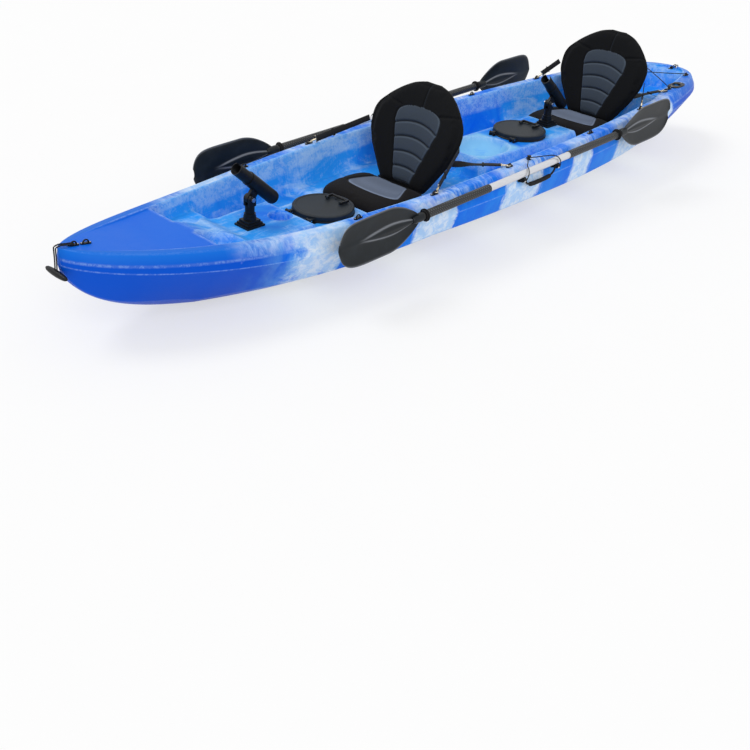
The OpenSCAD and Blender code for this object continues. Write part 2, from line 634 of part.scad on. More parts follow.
function pad_panel(v, y) = smooth((mix(60, 112, smooth(1.6 * v)) - abs(y)) / 32 + 0.5)
  * smooth((0.86 - v) / 0.06);
module seat_pad(front_x, z) {
  us = [for (j = [0:pad_cols]) sin(90 * (2 * j / pad_cols - 1))];
  vs = [for (i = [0:pad_rows]) (1 - cos(180 * i / pad_rows)) / 2];
  x0 = front_x - pad_l;
  low = [for (v = vs) [for (u = us) [x0 + (pad_l - 3) * v, u * pad_half(v), z + pad_lift]]];
  top = [for (v = vs) [for (u = us) let (y = u * pad_half(v)) [x0 + (pad_l - 3) * v, y,
    z + pad_lift + pad_edge_t + (pad_t - pad_edge_t) * pad_puff(u, v) * (1 - pad_slope * v)
      - 4 * pad_panel(v, y)]]];
  color(black) cushion(low, top);
}

// Pad eyes on the rim and deck
eye_l = 38;
eye_w = 13;
eye_t = 4;
eye_r = 10;
eye_wire = 2.5;
eye_in = 19;
eye_hole_h = 3.9;
function rim_eye(x, side) = [x, side * (inner_y(x) + eye_in), sheer(x)];
front_eye_x = [front_pad_x - 112, front_pad_x - 552];
rear_eye_x = [rear_pad_x - 262, rear_pad_x - 602];
tank_eye_x = [tank_x - 40, tank_end_x + 40];
free_eye_x = [front_hatch_x + 130, bowl_x - 330];
bow_eye_x = [half_l - 55, half_l - 97];
stern_eye_x = 55 - half_l;
stern_eye_slope = atan((deck_z(stern_eye_x - eye_l / 2, 0) - deck_z(stern_eye_x + eye_l / 2, 0)) / eye_l);
eye_places = concat(
  [for (side = [-1, 1], x = concat(front_eye_x, rear_eye_x, tank_eye_x, free_eye_x))
    [rim_eye(x, side), sheer_slope(x)]],
  [for (x = bow_eye_x) [[x, 0, sheer(x)], sheer_slope(x)]],
  [[[stern_eye_x, 0, deck_z(stern_eye_x, 0)], stern_eye_slope]]);
module pad_eye() {
  for (s = [-1, 1]) translate([s * (eye_l - eye_w) / 2, 0, 0]) cylinder(r = eye_w / 2, h = eye_t, $fn = 40);
  translate([(eye_w - eye_l) / 2, -eye_w / 2, 0]) cube([eye_l - eye_w, eye_w, eye_t]);
  intersection() {
    translate([0, 0, eye_t - 1]) rotate([90, 0, 0]) rotate_extrude($fn = 48) translate([eye_r, 0])
      circle(r = eye_wire, $fn = 24);
    translate([-20, -20, 1]) cube(40);
  }
}
module pad_eyes() {
  color(black) for (p = eye_places)
    translate(p[0]) rotate([0, p[1], 0]) translate([0, 0, seat_gap]) pad_eye();
}

// Seat straps: a split ring and snap hook through each pad eye, then flat webbing to the backrest,
// on edge to the sides of the backrest and level to its rear face
hook_r = 8;
hook_wire = 1.8;
hook_bar = 4.4;
hook_end = hook_r + 16 + hook_bar;
front_strap_h = 225;
rear_strap_h = 150;
rear_strap_y = 150;
function ring_centre(x, side, fore) = rim_eye(x, side)
  + [fore ? -hook_r : hook_r, 0, seat_gap + eye_t + eye_hole_h];
function strap_end(pivot, side, fore) = fore
  ? let (y = back_half(front_strap_h / back_h)) on_back(pivot, back_sag(y), side * (y + 3), front_strap_h)
  : on_back(pivot, back_sag(rear_strap_y) - back_t / 2 - back_edge_t, side * rear_strap_y, rear_strap_h);
module aim(from, to) {
  d = to - from;
  translate(from) rotate([0, -asin(d[2] / norm(d)), atan2(d[1], d[0])]) children();
}
module slab(from, to, w, t) {
  translate([from, -w / 2, -t / 2]) cube([to - from, w, t]);
}
module snap_hook() {
  x_rod(3.2, hook_r - 0.5, hook_end - 2);
  x_rod(4.4, hook_r + 5, hook_r + 11);
  slab(hook_end - hook_bar, hook_end, strap_w + 4, hook_bar);
}
module at_straps(pivot, eyes) {
  for (side = [-1, 1], fore = [true, false]) {
    from = ring_centre(eyes[fore ? 0 : 1], side, fore);
    to = strap_end(pivot, side, fore);
    $strap_l = norm(to - from);
    aim(from, to) rotate([fore ? 90 : 0, 0, 0]) children();
  }
}
module seat_hooks(pivot, eyes) {
  color(brass) {
    for (side = [-1, 1], fore = [true, false]) translate(ring_centre(eyes[fore ? 0 : 1], side, fore))
      rotate_extrude($fn = 48) translate([hook_r, 0]) circle(r = hook_wire, $fn = 24);
    at_straps(pivot, eyes) snap_hook();
  }
}
module seat_straps(pivot, eyes) {
  color(black) at_straps(pivot, eyes) slab(hook_end + seat_gap, $strap_l - 2, strap_w, strap_t);
}

// Paddles: the shaft runs along local X through the middle of the paddle
port_paddle_x = 10;
starboard_paddle_x = -31;
grip_wall = 1.8;
drip_r = 24;
socket_s = ring_s + 20;
socket_l = 20;
blade_s = socket_s + socket_l + 2;
blade_l = paddle_half_l - blade_s;
blade_cols = 8;
blade_rows = 14;
rib_h = 9;
module at_paddle(side) {
  x = side > 0 ? port_paddle_x : starboard_paddle_x;
  translate([x, side * shaft_y, shaft_height(x)]) rotate([0, shaft_pitch, 0]) children();
}
module paddle_shaft(side) {
  end = socket_s + socket_l;
  color(silver) at_paddle(side) difference() {
    x_rod(shaft_r, -end, end);
    x_rod(shaft_r - shaft_wall, -end - 1, end + 1);
  }
}
module paddle_grips(side) {
  color(black) at_paddle(side) for (s = [0, 1]) mirror([s, 0, 0]) difference() {
    x_rod(shaft_r + grip_wall, bare_s, ring_s - 8);
    x_rod(shaft_r + press_gap, bare_s - 1, ring_s);
  }
}
module drip_rings(side) {
  bore = shaft_r + press_gap;
  color(black) at_paddle(side) for (s = [-1, 1]) rotate([0, 90 * s, 0]) translate([0, 0, ring_s])
    rotate_extrude($fn = 64) polygon([[bore, -7], [bore + 4, -7], [bore + 4.5, -2], [drip_r, -1], [drip_r, 2],
      [bore + 5, 3], [bore + 4, 8], [bore, 8]]);
}
function blade_edge(v, full, corner) = v < full ? mix(0.2, 1, pow(sin(90 * v / full), 0.9))
  : sqrt(1 - pow((v - full) / (1.005 - full), corner));
function blade_top(v) = 0.98 * blade_edge(v, 0.42, 8);
function blade_low(v) = blade_edge(v, 0.38, 6);
function blade_z(u, v) = blade_w / 2 * u * (u > 0 ? blade_top(v) : blade_low(v));
function blade_rib(u, v) = rib_h * exp(-pow(u / 0.13, 2)) * pow(1 - v, 0.7);
function blade_dish(u) = 7 * u * u;
module blade(side, fore) {
  us = [for (j = [0:blade_cols]) let (t = 2 * j / blade_cols - 1) sign(t) * pow(abs(t), 1.3)];
  vs = [for (i = [0:blade_rows]) 1 - pow(1 - i / blade_rows, 1.5)];
  inner = [for (v = vs) [for (u = us)
    [blade_s + blade_l * v, blade_dish(u) - 3 - blade_rib(u, v), blade_z(u, v)]]];
  outer = [for (v = vs) [for (u = us)
    [blade_s + blade_l * v, blade_dish(u) + 1.5 + blade_rib(u, v), blade_z(u, v)]]];
  color(black) at_paddle(side) mirror([fore ? 0 : 1, 0, 0]) mirror([0, side > 0 ? 0 : 1, 0]) {
    cushion(outer, inner);
    difference() {
      x_rod(shaft_r + 2.5, socket_s, blade_s + 24);
      x_rod(shaft_r + press_gap, socket_s - 1, blade_s - 1.5);
    }
  }
}

// Side carry handles hinged in saddles on the hull side
bail_r = 4;
bail_drop = 34;
bail_steps = 16;
bail_straight = 12;
saddle_w = 16;
handle_x = (saddle_x[0] + saddle_x[1]) / 2;
handle_z = (saddle_z(saddle_x[0]) + saddle_z(saddle_x[1])) / 2;
handle_axis_y = saddle_face(handle_x) + seat_gap + saddle_reach;
module handle_saddles(side) {
  color(black) for (x = saddle_x) translate([x, side * (saddle_face(x) + seat_gap), saddle_z(x)])
    mirror([0, side > 0 ? 0 : 1, 0]) difference() {
      out = handle_axis_y - saddle_face(x) - seat_gap;
      union() {
        y_rod(saddle_r + 4, 0, 6);
        translate([-saddle_w / 2, 0, -saddle_r]) cube([saddle_w, out, 2 * saddle_r]);
        translate([0, out, 0]) rotate([0, shaft_pitch, 0]) x_rod(saddle_r, -saddle_w / 2, saddle_w / 2);
      }
      translate([0, out, 0]) rotate([0, shaft_pitch, 0]) x_rod(bail_r + pin_gap, -30, 30);
    }
}
module side_handle(side) {
  half = handle_span / 2 / cos(shaft_pitch);
  run = half - 14;
  arc = [for (i = [1:bail_steps - 1]) let (t = 2 * i / bail_steps - 1)
    [t * run, 0, -bail_drop * sqrt(1 - pow(t, 4))]];
  color(black) translate([handle_x, side * handle_axis_y, handle_z]) rotate([0, shaft_pitch, 0]) {
    tube(concat([[-half, 0, 0], [bail_straight - half, 0, 0]], arc,
      [[half - bail_straight, 0, 0], [half, 0, 0]]), bail_r - 0.1, 12);
    for (s = [-1, 1]) translate([s * half, 0, 0]) x_rod(bail_r, -11, 11);
    translate([0, 0, -bail_drop]) x_rod(grip_r, -0.55 * half, 0.55 * half);
  }
}

// Shock cord keepers: saddle to saddle over the shaft, round a knob on the rim
cord_r = cord_d / 2;
knob_in = 22;
knob_cord_z = 7;
function knob_place(side) = [handle_x, side * (inner_y(handle_x) + knob_in), sheer(handle_x)];
module keeper_knobs() {
  color(black) for (side = [-1, 1]) translate(knob_place(side) + [0, 0, seat_gap]) {
    cylinder(r = 9, h = 2, $fn = 40);
    cylinder(r = 5, h = 13, $fn = 40);
    translate([0, 0, 12.5]) cylinder(r = 8, h = 4, $fn = 40);
  }
}
function keeper_leg(k) = let (x = saddle_x[k], d = k == 0 ? 1 : -1, y = shaft_y, z = shaft_height(x),
    kn = knob_place(1)) [
  [x, handle_axis_y + saddle_r + cord_r + 0.5, saddle_z(x) - 1], [x - d * 3, y + 20, z - 13],
  [x - d * 8, y + 20, z + 4], [x - d * 16, y + 10, z + 18], [x - d * 30, y - 8, z + 22],
  [kn[0] + d * 60, kn[1] + 38, kn[2] + 14], [kn[0] + d * 12, kn[1] + 3, kn[2] + knob_cord_z],
  [kn[0] + d * 7.5, kn[1] - 6, kn[2] + knob_cord_z]];
keeper_route = concat(keeper_leg(0), [knob_place(1) + [0, -9, knob_cord_z]], reversed(keeper_leg(1)));
module paddle_keeper(side) {
  color(black) tube([for (p = curve(keeper_route, 2)) [p[0], side * p[1], p[2]]], cord_r);
}

// Two shock cords crossing over the tankwell, each through a pad eye at both ends
function tank_point(k, side) = rim_eye(tank_eye_x[k], side) + [0, 0, seat_gap + eye_t + 3.6];
module tankwell_cord() {
  color(black) for (side = [-1, 1]) {
    a = tank_point(0, side);
    b = tank_point(1, -side);
    tube([a + [8, side * 12, -1], a, mix(a, b, 0.5) + [0, 0, side * 5], b, b + [-8, -side * 12, -1]], cord_r);
  }
}

// Bow and stern toggles: a cord looped through a pad eye, two hanging strands and a spindle
toggle_cord_r = 2.2;
strand_y = 5.6;
toggle_drop = 84;
function end_bend(end) = [end * (half_l + 7), 0, sheer(end * half_l) + 2];
module tie_cord(end) {
  eye = end > 0 ? bow_eye_x[0] : stern_eye_x;
  slope = end > 0 ? sheer_slope(eye) : stern_eye_slope;
  tip = end_bend(end);
  on_deck = [for (p = [[-0.5, 0], [3, 4.8], [10, strand_y], [22, strand_y]])
    [eye + end * p[0], p[1], deck_z(eye, 0) + seat_gap + eye_t + 3 - end * p[0] * tan(slope)]];
  strand = concat(on_deck,
    [[end * (half_l - 10), strand_y, tip[2] + 4.5], [tip[0] - end * 3, strand_y, tip[2] + 2.5]]);
  other = [for (i = [1:len(strand) - 1]) [strand[i][0], -strand[i][1], strand[i][2]]];
  color(black) tube(curve(concat(reversed(other), strand), 2), toggle_cord_r);
}
module hang_cord(end) {
  tip = end_bend(end);
  color(black) for (s = [-1, 1])
    tube([for (p = [[0, 1], [1.5, -6], [2, -40], [4, toggle_r - toggle_drop + seat_gap]])
      tip + [end * p[0], s * strand_y, p[1]]], toggle_cord_r);
}
module toggle(end) {
  outline = [for (i = [-8:8]) [toggle_r * (0.42 + 0.58 * sqrt(cos(90 * i / 8))), i / 16 * toggle_l]];
  color(black) translate(end_bend(end) + [end * 4, 0, -toggle_drop]) rotate([90, 0, 0]) rotate_extrude($fn = 48)
    polygon(concat([[0, -toggle_l / 2]], outline, [[0, toggle_l / 2]]));
}

module front_hatch_ring() { hatch_ring(front_hatch_x, front_hatch_z); }
module front_hatch_seal() { hatch_seal(front_hatch_x, front_hatch_z); }
module front_hatch_lid() { hatch_lid(front_hatch_x, front_hatch_z); }
module front_hatch_pins() { hatch_pins(front_hatch_x, front_hatch_z); }
module front_hatch_handle() { hatch_handle(front_hatch_x, front_hatch_z); }
module rear_hatch_ring() { hatch_ring(rear_hatch_x, rear_console_z); }
module rear_hatch_seal() { hatch_seal(rear_hatch_x, rear_console_z); }
module rear_hatch_lid() { hatch_lid(rear_hatch_x, rear_console_z); }
module rear_hatch_pins() { hatch_pins(rear_hatch_x, rear_console_z); }
module rear_hatch_handle() { hatch_handle(rear_hatch_x, rear_console_z); }
module front_rod_base() { rod_base(front_rod_x, front_terrace_z); }
module front_rod_post() { rod_post(front_rod_x, front_terrace_z); }
module front_rod_bolt() { rod_bolt(front_rod_x, front_terrace_z); }
module front_rod_tube() { rod_tube(front_rod_x, front_terrace_z); }
module rear_rod_base() { rod_base(rear_rod_x, rear_console_z); }
module rear_rod_post() { rod_post(rear_rod_x, rear_console_z); }
module rear_rod_bolt() { rod_bolt(rear_rod_x, rear_console_z); }
module rear_rod_tube() { rod_tube(rear_rod_x, rear_console_z); }
module port_flush_holder() { flush_holder(1); }
module starboard_flush_holder() { flush_holder(-1); }
module front_seat_pad() { seat_pad(front_pad_x, front_seat_z); }
module front_seat_back() { seat_back(front_pivot); }
module front_seat_straps() { seat_straps(front_pivot, front_eye_x); }
module front_seat_hooks() { seat_hooks(front_pivot, front_eye_x); }
module rear_seat_pad() { seat_pad(rear_pad_x, rear_seat_z); }
module rear_seat_back() { seat_back(rear_pivot); }
module rear_seat_straps() { seat_straps(rear_pivot, rear_eye_x); }
module rear_seat_hooks() { seat_hooks(rear_pivot, rear_eye_x); }
module port_paddle_shaft() { paddle_shaft(1); }
module port_paddle_grips() { paddle_grips(1); }
module port_drip_rings() { drip_rings(1); }
module port_fore_blade() { blade(1, true); }
module port_aft_blade() { blade(1, false); }
module starboard_paddle_shaft() { paddle_shaft(-1); }
module starboard_paddle_grips() { paddle_grips(-1); }
module starboard_drip_rings() { drip_rings(-1); }
module starboard_fore_blade() { blade(-1, true); }
module starboard_aft_blade() { blade(-1, false); }
module port_handle_saddles() { handle_saddles(1); }
module port_handle() { side_handle(1); }
module port_paddle_keeper() { paddle_keeper(1); }
module starboard_handle_saddles() { handle_saddles(-1); }
module starboard_handle() { side_handle(-1); }
module starboard_paddle_keeper() { paddle_keeper(-1); }
module bow_tie_cord() { tie_cord(1); }
module bow_cord() { hang_cord(1); }
module bow_toggle() { toggle(1); }
module stern_tie_cord() { tie_cord(-1); }
module stern_cord() { hang_cord(-1); }
module stern_toggle() { toggle(-1); }

moulded_hull();
scupper_plugs();
front_hatch_ring();
front_hatch_seal();
front_hatch_lid();
front_hatch_pins();
front_hatch_handle();
rear_hatch_ring();
rear_hatch_seal();
rear_hatch_lid();
rear_hatch_pins();
rear_hatch_handle();
front_rod_base();
front_rod_post();
front_rod_bolt();
front_rod_tube();
rear_rod_base();
rear_rod_post();
rear_rod_bolt();
rear_rod_tube();
port_flush_holder();
starboard_flush_holder();
front_seat_pad();
front_seat_back();
front_seat_straps();
front_seat_hooks();
rear_seat_pad();
rear_seat_back();
rear_seat_straps();
rear_seat_hooks();
port_paddle_shaft();
port_paddle_grips();
port_drip_rings();
port_fore_blade();
port_aft_blade();
starboard_paddle_shaft();
starboard_paddle_grips();
starboard_drip_rings();
starboard_fore_blade();
starboard_aft_blade();
port_handle_saddles();
port_handle();
port_paddle_keeper();
starboard_handle_saddles();
starboard_handle();
starboard_paddle_keeper();
keeper_knobs();
pad_eyes();
tankwell_cord();
bow_tie_cord();
bow_cord();
bow_toggle();
stern_tie_cord();
stern_cord();
stern_toggle();
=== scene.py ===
import json
import math
import bmesh
import bpy
import numpy as np
from mathutils import Matrix, Vector


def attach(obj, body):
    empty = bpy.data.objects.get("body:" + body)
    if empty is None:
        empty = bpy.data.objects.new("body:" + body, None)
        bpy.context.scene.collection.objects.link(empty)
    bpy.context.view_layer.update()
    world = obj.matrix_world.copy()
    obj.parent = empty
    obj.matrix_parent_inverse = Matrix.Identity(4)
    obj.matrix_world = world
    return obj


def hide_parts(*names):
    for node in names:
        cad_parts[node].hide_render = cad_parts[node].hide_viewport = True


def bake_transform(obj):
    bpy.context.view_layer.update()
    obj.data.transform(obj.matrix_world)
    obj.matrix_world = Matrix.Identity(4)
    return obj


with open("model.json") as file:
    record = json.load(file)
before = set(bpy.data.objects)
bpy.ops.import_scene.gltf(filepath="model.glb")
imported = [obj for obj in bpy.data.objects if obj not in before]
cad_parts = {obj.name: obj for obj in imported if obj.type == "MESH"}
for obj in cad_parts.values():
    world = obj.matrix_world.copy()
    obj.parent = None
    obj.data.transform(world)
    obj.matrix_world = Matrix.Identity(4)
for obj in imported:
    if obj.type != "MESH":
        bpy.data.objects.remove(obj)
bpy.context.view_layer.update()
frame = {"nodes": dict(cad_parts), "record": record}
nodes = frame["nodes"]
scene = bpy.context.scene
MM = 0.001

# Sizes of the kayak, in millimetres, as in the part's source
HALF_L, HALF_W, GUNWALE_H, SHEER_FALL, BOW_RISE = 1850.0, 400.0, 299.0, 45.0, 84.0
STEM_L, STEM_H, STERN_L, TRANSOM_Z = 724.0, 295.0, 750.0, 213.0
CHINE_H, CREASE_DROP, KEEL_W, RIM_W, QUARTER_W, BEAM_X = 143.0, 76.0, 60.0, 75.0, 40.0, 150.0
BEVEL_RUN, BEVEL_DROP, BEVEL_IN, FORE_DISH = 36.0, 36.0, 6.0, 6.0
FRONT_HATCH_X, REAR_HATCH_X, LID_R, CUP_R, BOWL_R, ROD_BASE_W = 740.0, -478.0, 118.0, 40.0, 132.0, 80.0
PAD_W, PAD_L, PAD_T, BACK_H, BACK_W, BACK_T, BACK_LEAN = 400.0, 285.0, 52.0, 436.0, 238.0, 44.0, 20.0
STRAP_W, STRAP_T = 25.0, 2.0
SHAFT_R, RING_S, PADDLE_HALF_L, BLADE_W, SHAFT_Z, SHAFT_PITCH = 14.0, 626.0, 1057.0, 176.0, 288.0, 2.09
HANDLE_SPAN, GRIP_R, CORD_D, TOGGLE_DROP, SADDLE_R = 227.0, 9.0, 4.0, 84.0, 10.0
SEAT_GAP, TURN_GAP = 0.3, 0.4
BOW_FULLNESS, STERN_FULLNESS, STERN_DIP = 0.58, 0.36, 18.0
WALL_LEAN, WALL_FOOT, CONSOLE_W, CONSOLE_SIDE, SPINE_W = 0.26, 8.0, 128.0, 34.0, 40.0
RING_EDGE, CUP_GAP, CUP_ROD_GAP, HATCH_ROD_GAP, PAD_GAP, BOWL_GAP, FOOT_GAP = 18, 42, 62, 50, 6, 28, 40
FORE_DECK_L, BEHIND_PAD, BULKHEAD_L, STERN_DECK_L = 465, 165, 165, 120
STEP_RUN, SPINE_L, SEAT_SHELF = 35, 90, 125
TERRACE_DROP, HATCH_DROP, CONSOLE_DROP, STEP_DROP = 67, 112, 82, 70
WELL_DROP, SEAT_DROP, TANK_DROP, REAR_DECK_DROP, STERN_DECK_DROP, SPINE_DROP = 150, 138, 105, 26, 12, 30
SIDES = ((1, "port"), (-1, "starboard"))


def smooth(t):
    k = min(1.0, max(0.0, t))
    return k * k * (3 - 2 * k)


def ramp(x, start, end):
    return smooth((x - start) / (end - start))


def mix(a, b, t):
    return a + (b - a) * t


# Lines of the hull
def beam(x):
    share = (x - BEAM_X) / (HALF_L - BEAM_X) if x > BEAM_X else (BEAM_X - x) / (HALF_L + BEAM_X)
    return HALF_W * max(0.0, 1 - share * share) ** (BOW_FULLNESS if x > BEAM_X else STERN_FULLNESS)


def sheer(x):
    s = x / HALF_L
    rise, dip = BOW_RISE * max(0.0, 2 * s - 1) ** 2, STERN_DIP * max(0.0, -5 * s - 4) ** 2
    return GUNWALE_H - SHEER_FALL * s + rise - dip


def sheer_slope(x):
    return math.atan((sheer(x - 5) - sheer(x + 5)) / 10)


def keel(x):
    if x > HALF_L - STEM_L:
        return STEM_H * (1 - math.sqrt(max(0.0, 1 - ((x - HALF_L + STEM_L) / STEM_L) ** 2)))
    if x < STERN_L - HALF_L:
        return TRANSOM_Z * ((STERN_L - HALF_L - x) / STERN_L) ** 2.2
    return 0.0


def chine(x):
    """Chine as (y, z): low and narrow at the bow, climbing toward the stern."""
    s = x / HALF_L
    low = keel(x) + 2 + 50 * (1 - smooth((s - 0.8) / 0.2)) * smooth((s - 0.5) / 0.3)
    z = max(CHINE_H + 81 * max(0.0, (-s - 0.15) / 0.85) ** 1.6 - 65 * smooth((s - 0.25) / 0.4), low)
    return beam(x) * (0.95 - 0.45 * smooth((s - 0.3) / 0.6) - 0.15 * smooth((-s - 0.4) / 0.6)), z


def rim_top_y(x):
    b = beam(x)
    return b * b / (BEVEL_RUN + b)


# Places along the deck
CUP_X = FRONT_HATCH_X + LID_R + RING_EDGE + CUP_GAP + CUP_R
FRONT_ROD_X = CUP_X + CUP_R + CUP_ROD_GAP + ROD_BASE_W / 2
FRONT_PAD_X = FRONT_HATCH_X - LID_R - PAD_GAP
REAR_ROD_X = REAR_HATCH_X - LID_R - HATCH_ROD_GAP - ROD_BASE_W / 2
REAR_PAD_X = REAR_ROD_X - ROD_BASE_W / 2 - PAD_GAP
BOWL_X = REAR_HATCH_X + LID_R + BOWL_GAP + BOWL_R
STEP_X = HALF_L - FORE_DECK_L
FOOT_X = FRONT_ROD_X + ROD_BASE_W / 2 + FOOT_GAP
BULKHEAD_X = REAR_PAD_X - PAD_L - BEHIND_PAD
TANK_X = BULKHEAD_X - BULKHEAD_L
TANK_END_X = STERN_DECK_L - HALF_L


def inner_y(x):
    b = max(8.0, beam(x) - 9)
    return b * b / (b + RIM_W + QUARTER_W * ramp(x, BULKHEAD_X, TANK_X))


# Heights of the deck, and its lines as (x, z) from bow to stern: beside the console and along it
FRONT_TERRACE_Z = sheer(FRONT_ROD_X) - TERRACE_DROP
FRONT_HATCH_Z = sheer(FRONT_HATCH_X) - HATCH_DROP
REAR_CONSOLE_Z = sheer(REAR_HATCH_X) - CONSOLE_DROP
STEP_Z = sheer(STEP_X) - STEP_DROP
FRONT_WELL_Z = sheer(FRONT_HATCH_X) - WELL_DROP
REAR_WELL_Z = sheer(BOWL_X) - WELL_DROP
FRONT_SEAT_Z = sheer(FRONT_PAD_X - PAD_L / 2) - SEAT_DROP
REAR_SEAT_Z = sheer(REAR_PAD_X - PAD_L / 2) - SEAT_DROP
TANK_Z = sheer((TANK_X + TANK_END_X) / 2) - TANK_DROP
SEAT_BACK_X = FRONT_PAD_X - PAD_L - SEAT_SHELF
TERRACE_EDGE_X = FRONT_HATCH_X + LID_R + 26
BOWL_FRONT_X = BOWL_X + BOWL_R + 8
SPINE_X = FOOT_X + SPINE_L
FLOOR_LINE = [
    (STEP_X, sheer(STEP_X) - FORE_DISH), (STEP_X - STEP_RUN, STEP_Z), (FOOT_X + 10, STEP_Z),
    (FOOT_X - 40, FRONT_WELL_Z), (FRONT_PAD_X + 36, FRONT_WELL_Z), (FRONT_PAD_X + 4, FRONT_SEAT_Z),
    (SEAT_BACK_X, FRONT_SEAT_Z), (SEAT_BACK_X - 40, REAR_WELL_Z), (REAR_PAD_X + 36, REAR_WELL_Z),
    (REAR_PAD_X + 4, REAR_SEAT_Z), (BULKHEAD_X, REAR_SEAT_Z),
    (BULKHEAD_X - 70, sheer(BULKHEAD_X) - REAR_DECK_DROP), (TANK_X + 40, sheer(TANK_X) - REAR_DECK_DROP),
    (TANK_X, TANK_Z), (TANK_END_X, TANK_Z), (TANK_END_X - 40, sheer(TANK_END_X) - STERN_DECK_DROP),
    (-HALF_L, sheer(-HALF_L) - STERN_DECK_DROP)]
CONSOLE_LINE = [
    (STEP_X, sheer(STEP_X) - FORE_DISH), (SPINE_X, sheer(SPINE_X) - SPINE_DROP), (FOOT_X - 10, FRONT_TERRACE_Z),
    (TERRACE_EDGE_X + 30, FRONT_TERRACE_Z), (TERRACE_EDGE_X, FRONT_HATCH_Z), (FRONT_PAD_X + 4, FRONT_HATCH_Z),
    (FRONT_PAD_X, FRONT_SEAT_Z), (SEAT_BACK_X, FRONT_SEAT_Z), (SEAT_BACK_X - 40, REAR_WELL_Z),
    (BOWL_FRONT_X + 40, REAR_WELL_Z), (BOWL_FRONT_X, REAR_CONSOLE_Z), (REAR_PAD_X + 4, REAR_CONSOLE_Z),
    (REAR_PAD_X, REAR_SEAT_Z), (BULKHEAD_X, REAR_SEAT_Z)]


def along(line, x):
    if x >= line[0][0]:
        return line[0][1]
    for (xa, za), (xb, zb) in zip(line, line[1:]):
        if x >= xb:
            return mix(za, zb, ramp(x, xa, xb))
    return line[-1][1]


def floor_z(x):
    return sheer(x) - FORE_DISH * ramp(x, HALF_L - 120, HALF_L - 320) if x > STEP_X else along(FLOOR_LINE, x)


def centre_z(x):
    return floor_z(x) if x > STEP_X or x < BULKHEAD_X else along(CONSOLE_LINE, x)


def wall_w(x):
    return min(WALL_LEAN * (sheer(x) - floor_z(x)) + WALL_FOOT, 0.6 * inner_y(x))


def console(x):
    """Half width of the console's top, and the run of its side."""
    floor_y = inner_y(x) - wall_w(x)
    y = min(0.6 * floor_y, mix(CONSOLE_W, SPINE_W, ramp(x, FOOT_X - 10, STEP_X - 60)))
    return y, min(CONSOLE_SIDE, 0.5 * (floor_y - y))


def bowl_z(x, y):
    """Hollow of the middle seat: the deepest of five dishes set one behind another."""
    depth = 0.0
    for t in (0, 0.25, 0.5, 0.75, 1):
        r = 1 - ((x - BOWL_X - mix(37, -27, t)) / mix(95, 105, t)) ** 2 - (y / mix(109, 110, t)) ** 2
        depth = max(depth, mix(90, 68, t) * math.sqrt(max(0.0, r)))
    return REAR_CONSOLE_Z + 12 - depth


def bowl_share(x, y, z):
    """How far the deck at this place gives way to the moulded middle seat."""
    if abs(x - BOWL_X) > 150 or abs(y) > 125:
        return 0.0
    return min(1.0, max(0.0, 0.5 + 0.5 * (z - bowl_z(x, y)) / 9))


def deck_z(x, y):
    """Height of the deck, with the moulded middle seat let into the console."""
    y = abs(y)
    top = sheer(x)
    cy, side = console(x)
    base = mix(centre_z(x), floor_z(x), smooth((y - cy) / side))
    z = top - (top - base) * smooth((inner_y(x) - y) / wall_w(x))
    share = bowl_share(x, y, z)
    return mix(z, bowl_z(x, y), share) - 9 * share * (1 - share)


def placed(name, data):
    made = bpy.data.objects.new(name, data)
    scene.collection.objects.link(made)
    return made


# Camera, in metres
VIEW_SPOT, VIEW_LENS, SENSOR_W, VIEW_REACH = (3.256, 2.543, 1.678), 48.7, 36.0, 100.0
VIEW_RIGHT, VIEW_UP = Vector((-0.6899, 0.7210, 0.0649)), Vector((-0.3441, -0.4055, 0.8469))


def place_camera():
    data = bpy.data.cameras.new("photo_view")
    data.sensor_width, data.lens, data.clip_end = SENSOR_W, VIEW_LENS, VIEW_REACH
    view = placed("photo_view", data)
    axes = Matrix((VIEW_RIGHT, VIEW_UP, VIEW_RIGHT.cross(VIEW_UP))).transposed().to_4x4()
    view.matrix_world = Matrix.Translation(VIEW_SPOT) @ axes
    scene.camera = view


place_camera()


# Shader maths
class Val:
    """One shader socket. Sums, differences, products and quotients of it add Math nodes."""

    def __init__(self, finish, socket):
        self.finish, self.socket = finish, socket

    def maths(self, operation, a, b):
        return self.finish.node("ShaderNodeMath", {"operation": operation}, {0: a, 1: b})

    def __add__(self, other):
        return self.maths("ADD", self, other)

    def __sub__(self, other):
        return self.maths("SUBTRACT", self, other)

    def __rsub__(self, other):
        return self.maths("SUBTRACT", other, self)

    def __mul__(self, other):
        return self.maths("MULTIPLY", self, other)

    def __truediv__(self, other):
        return self.maths("DIVIDE", self, other)

    def __abs__(self):
        return self.maths("ABSOLUTE", self, 0.0)

    __radd__, __rmul__ = __add__, __mul__


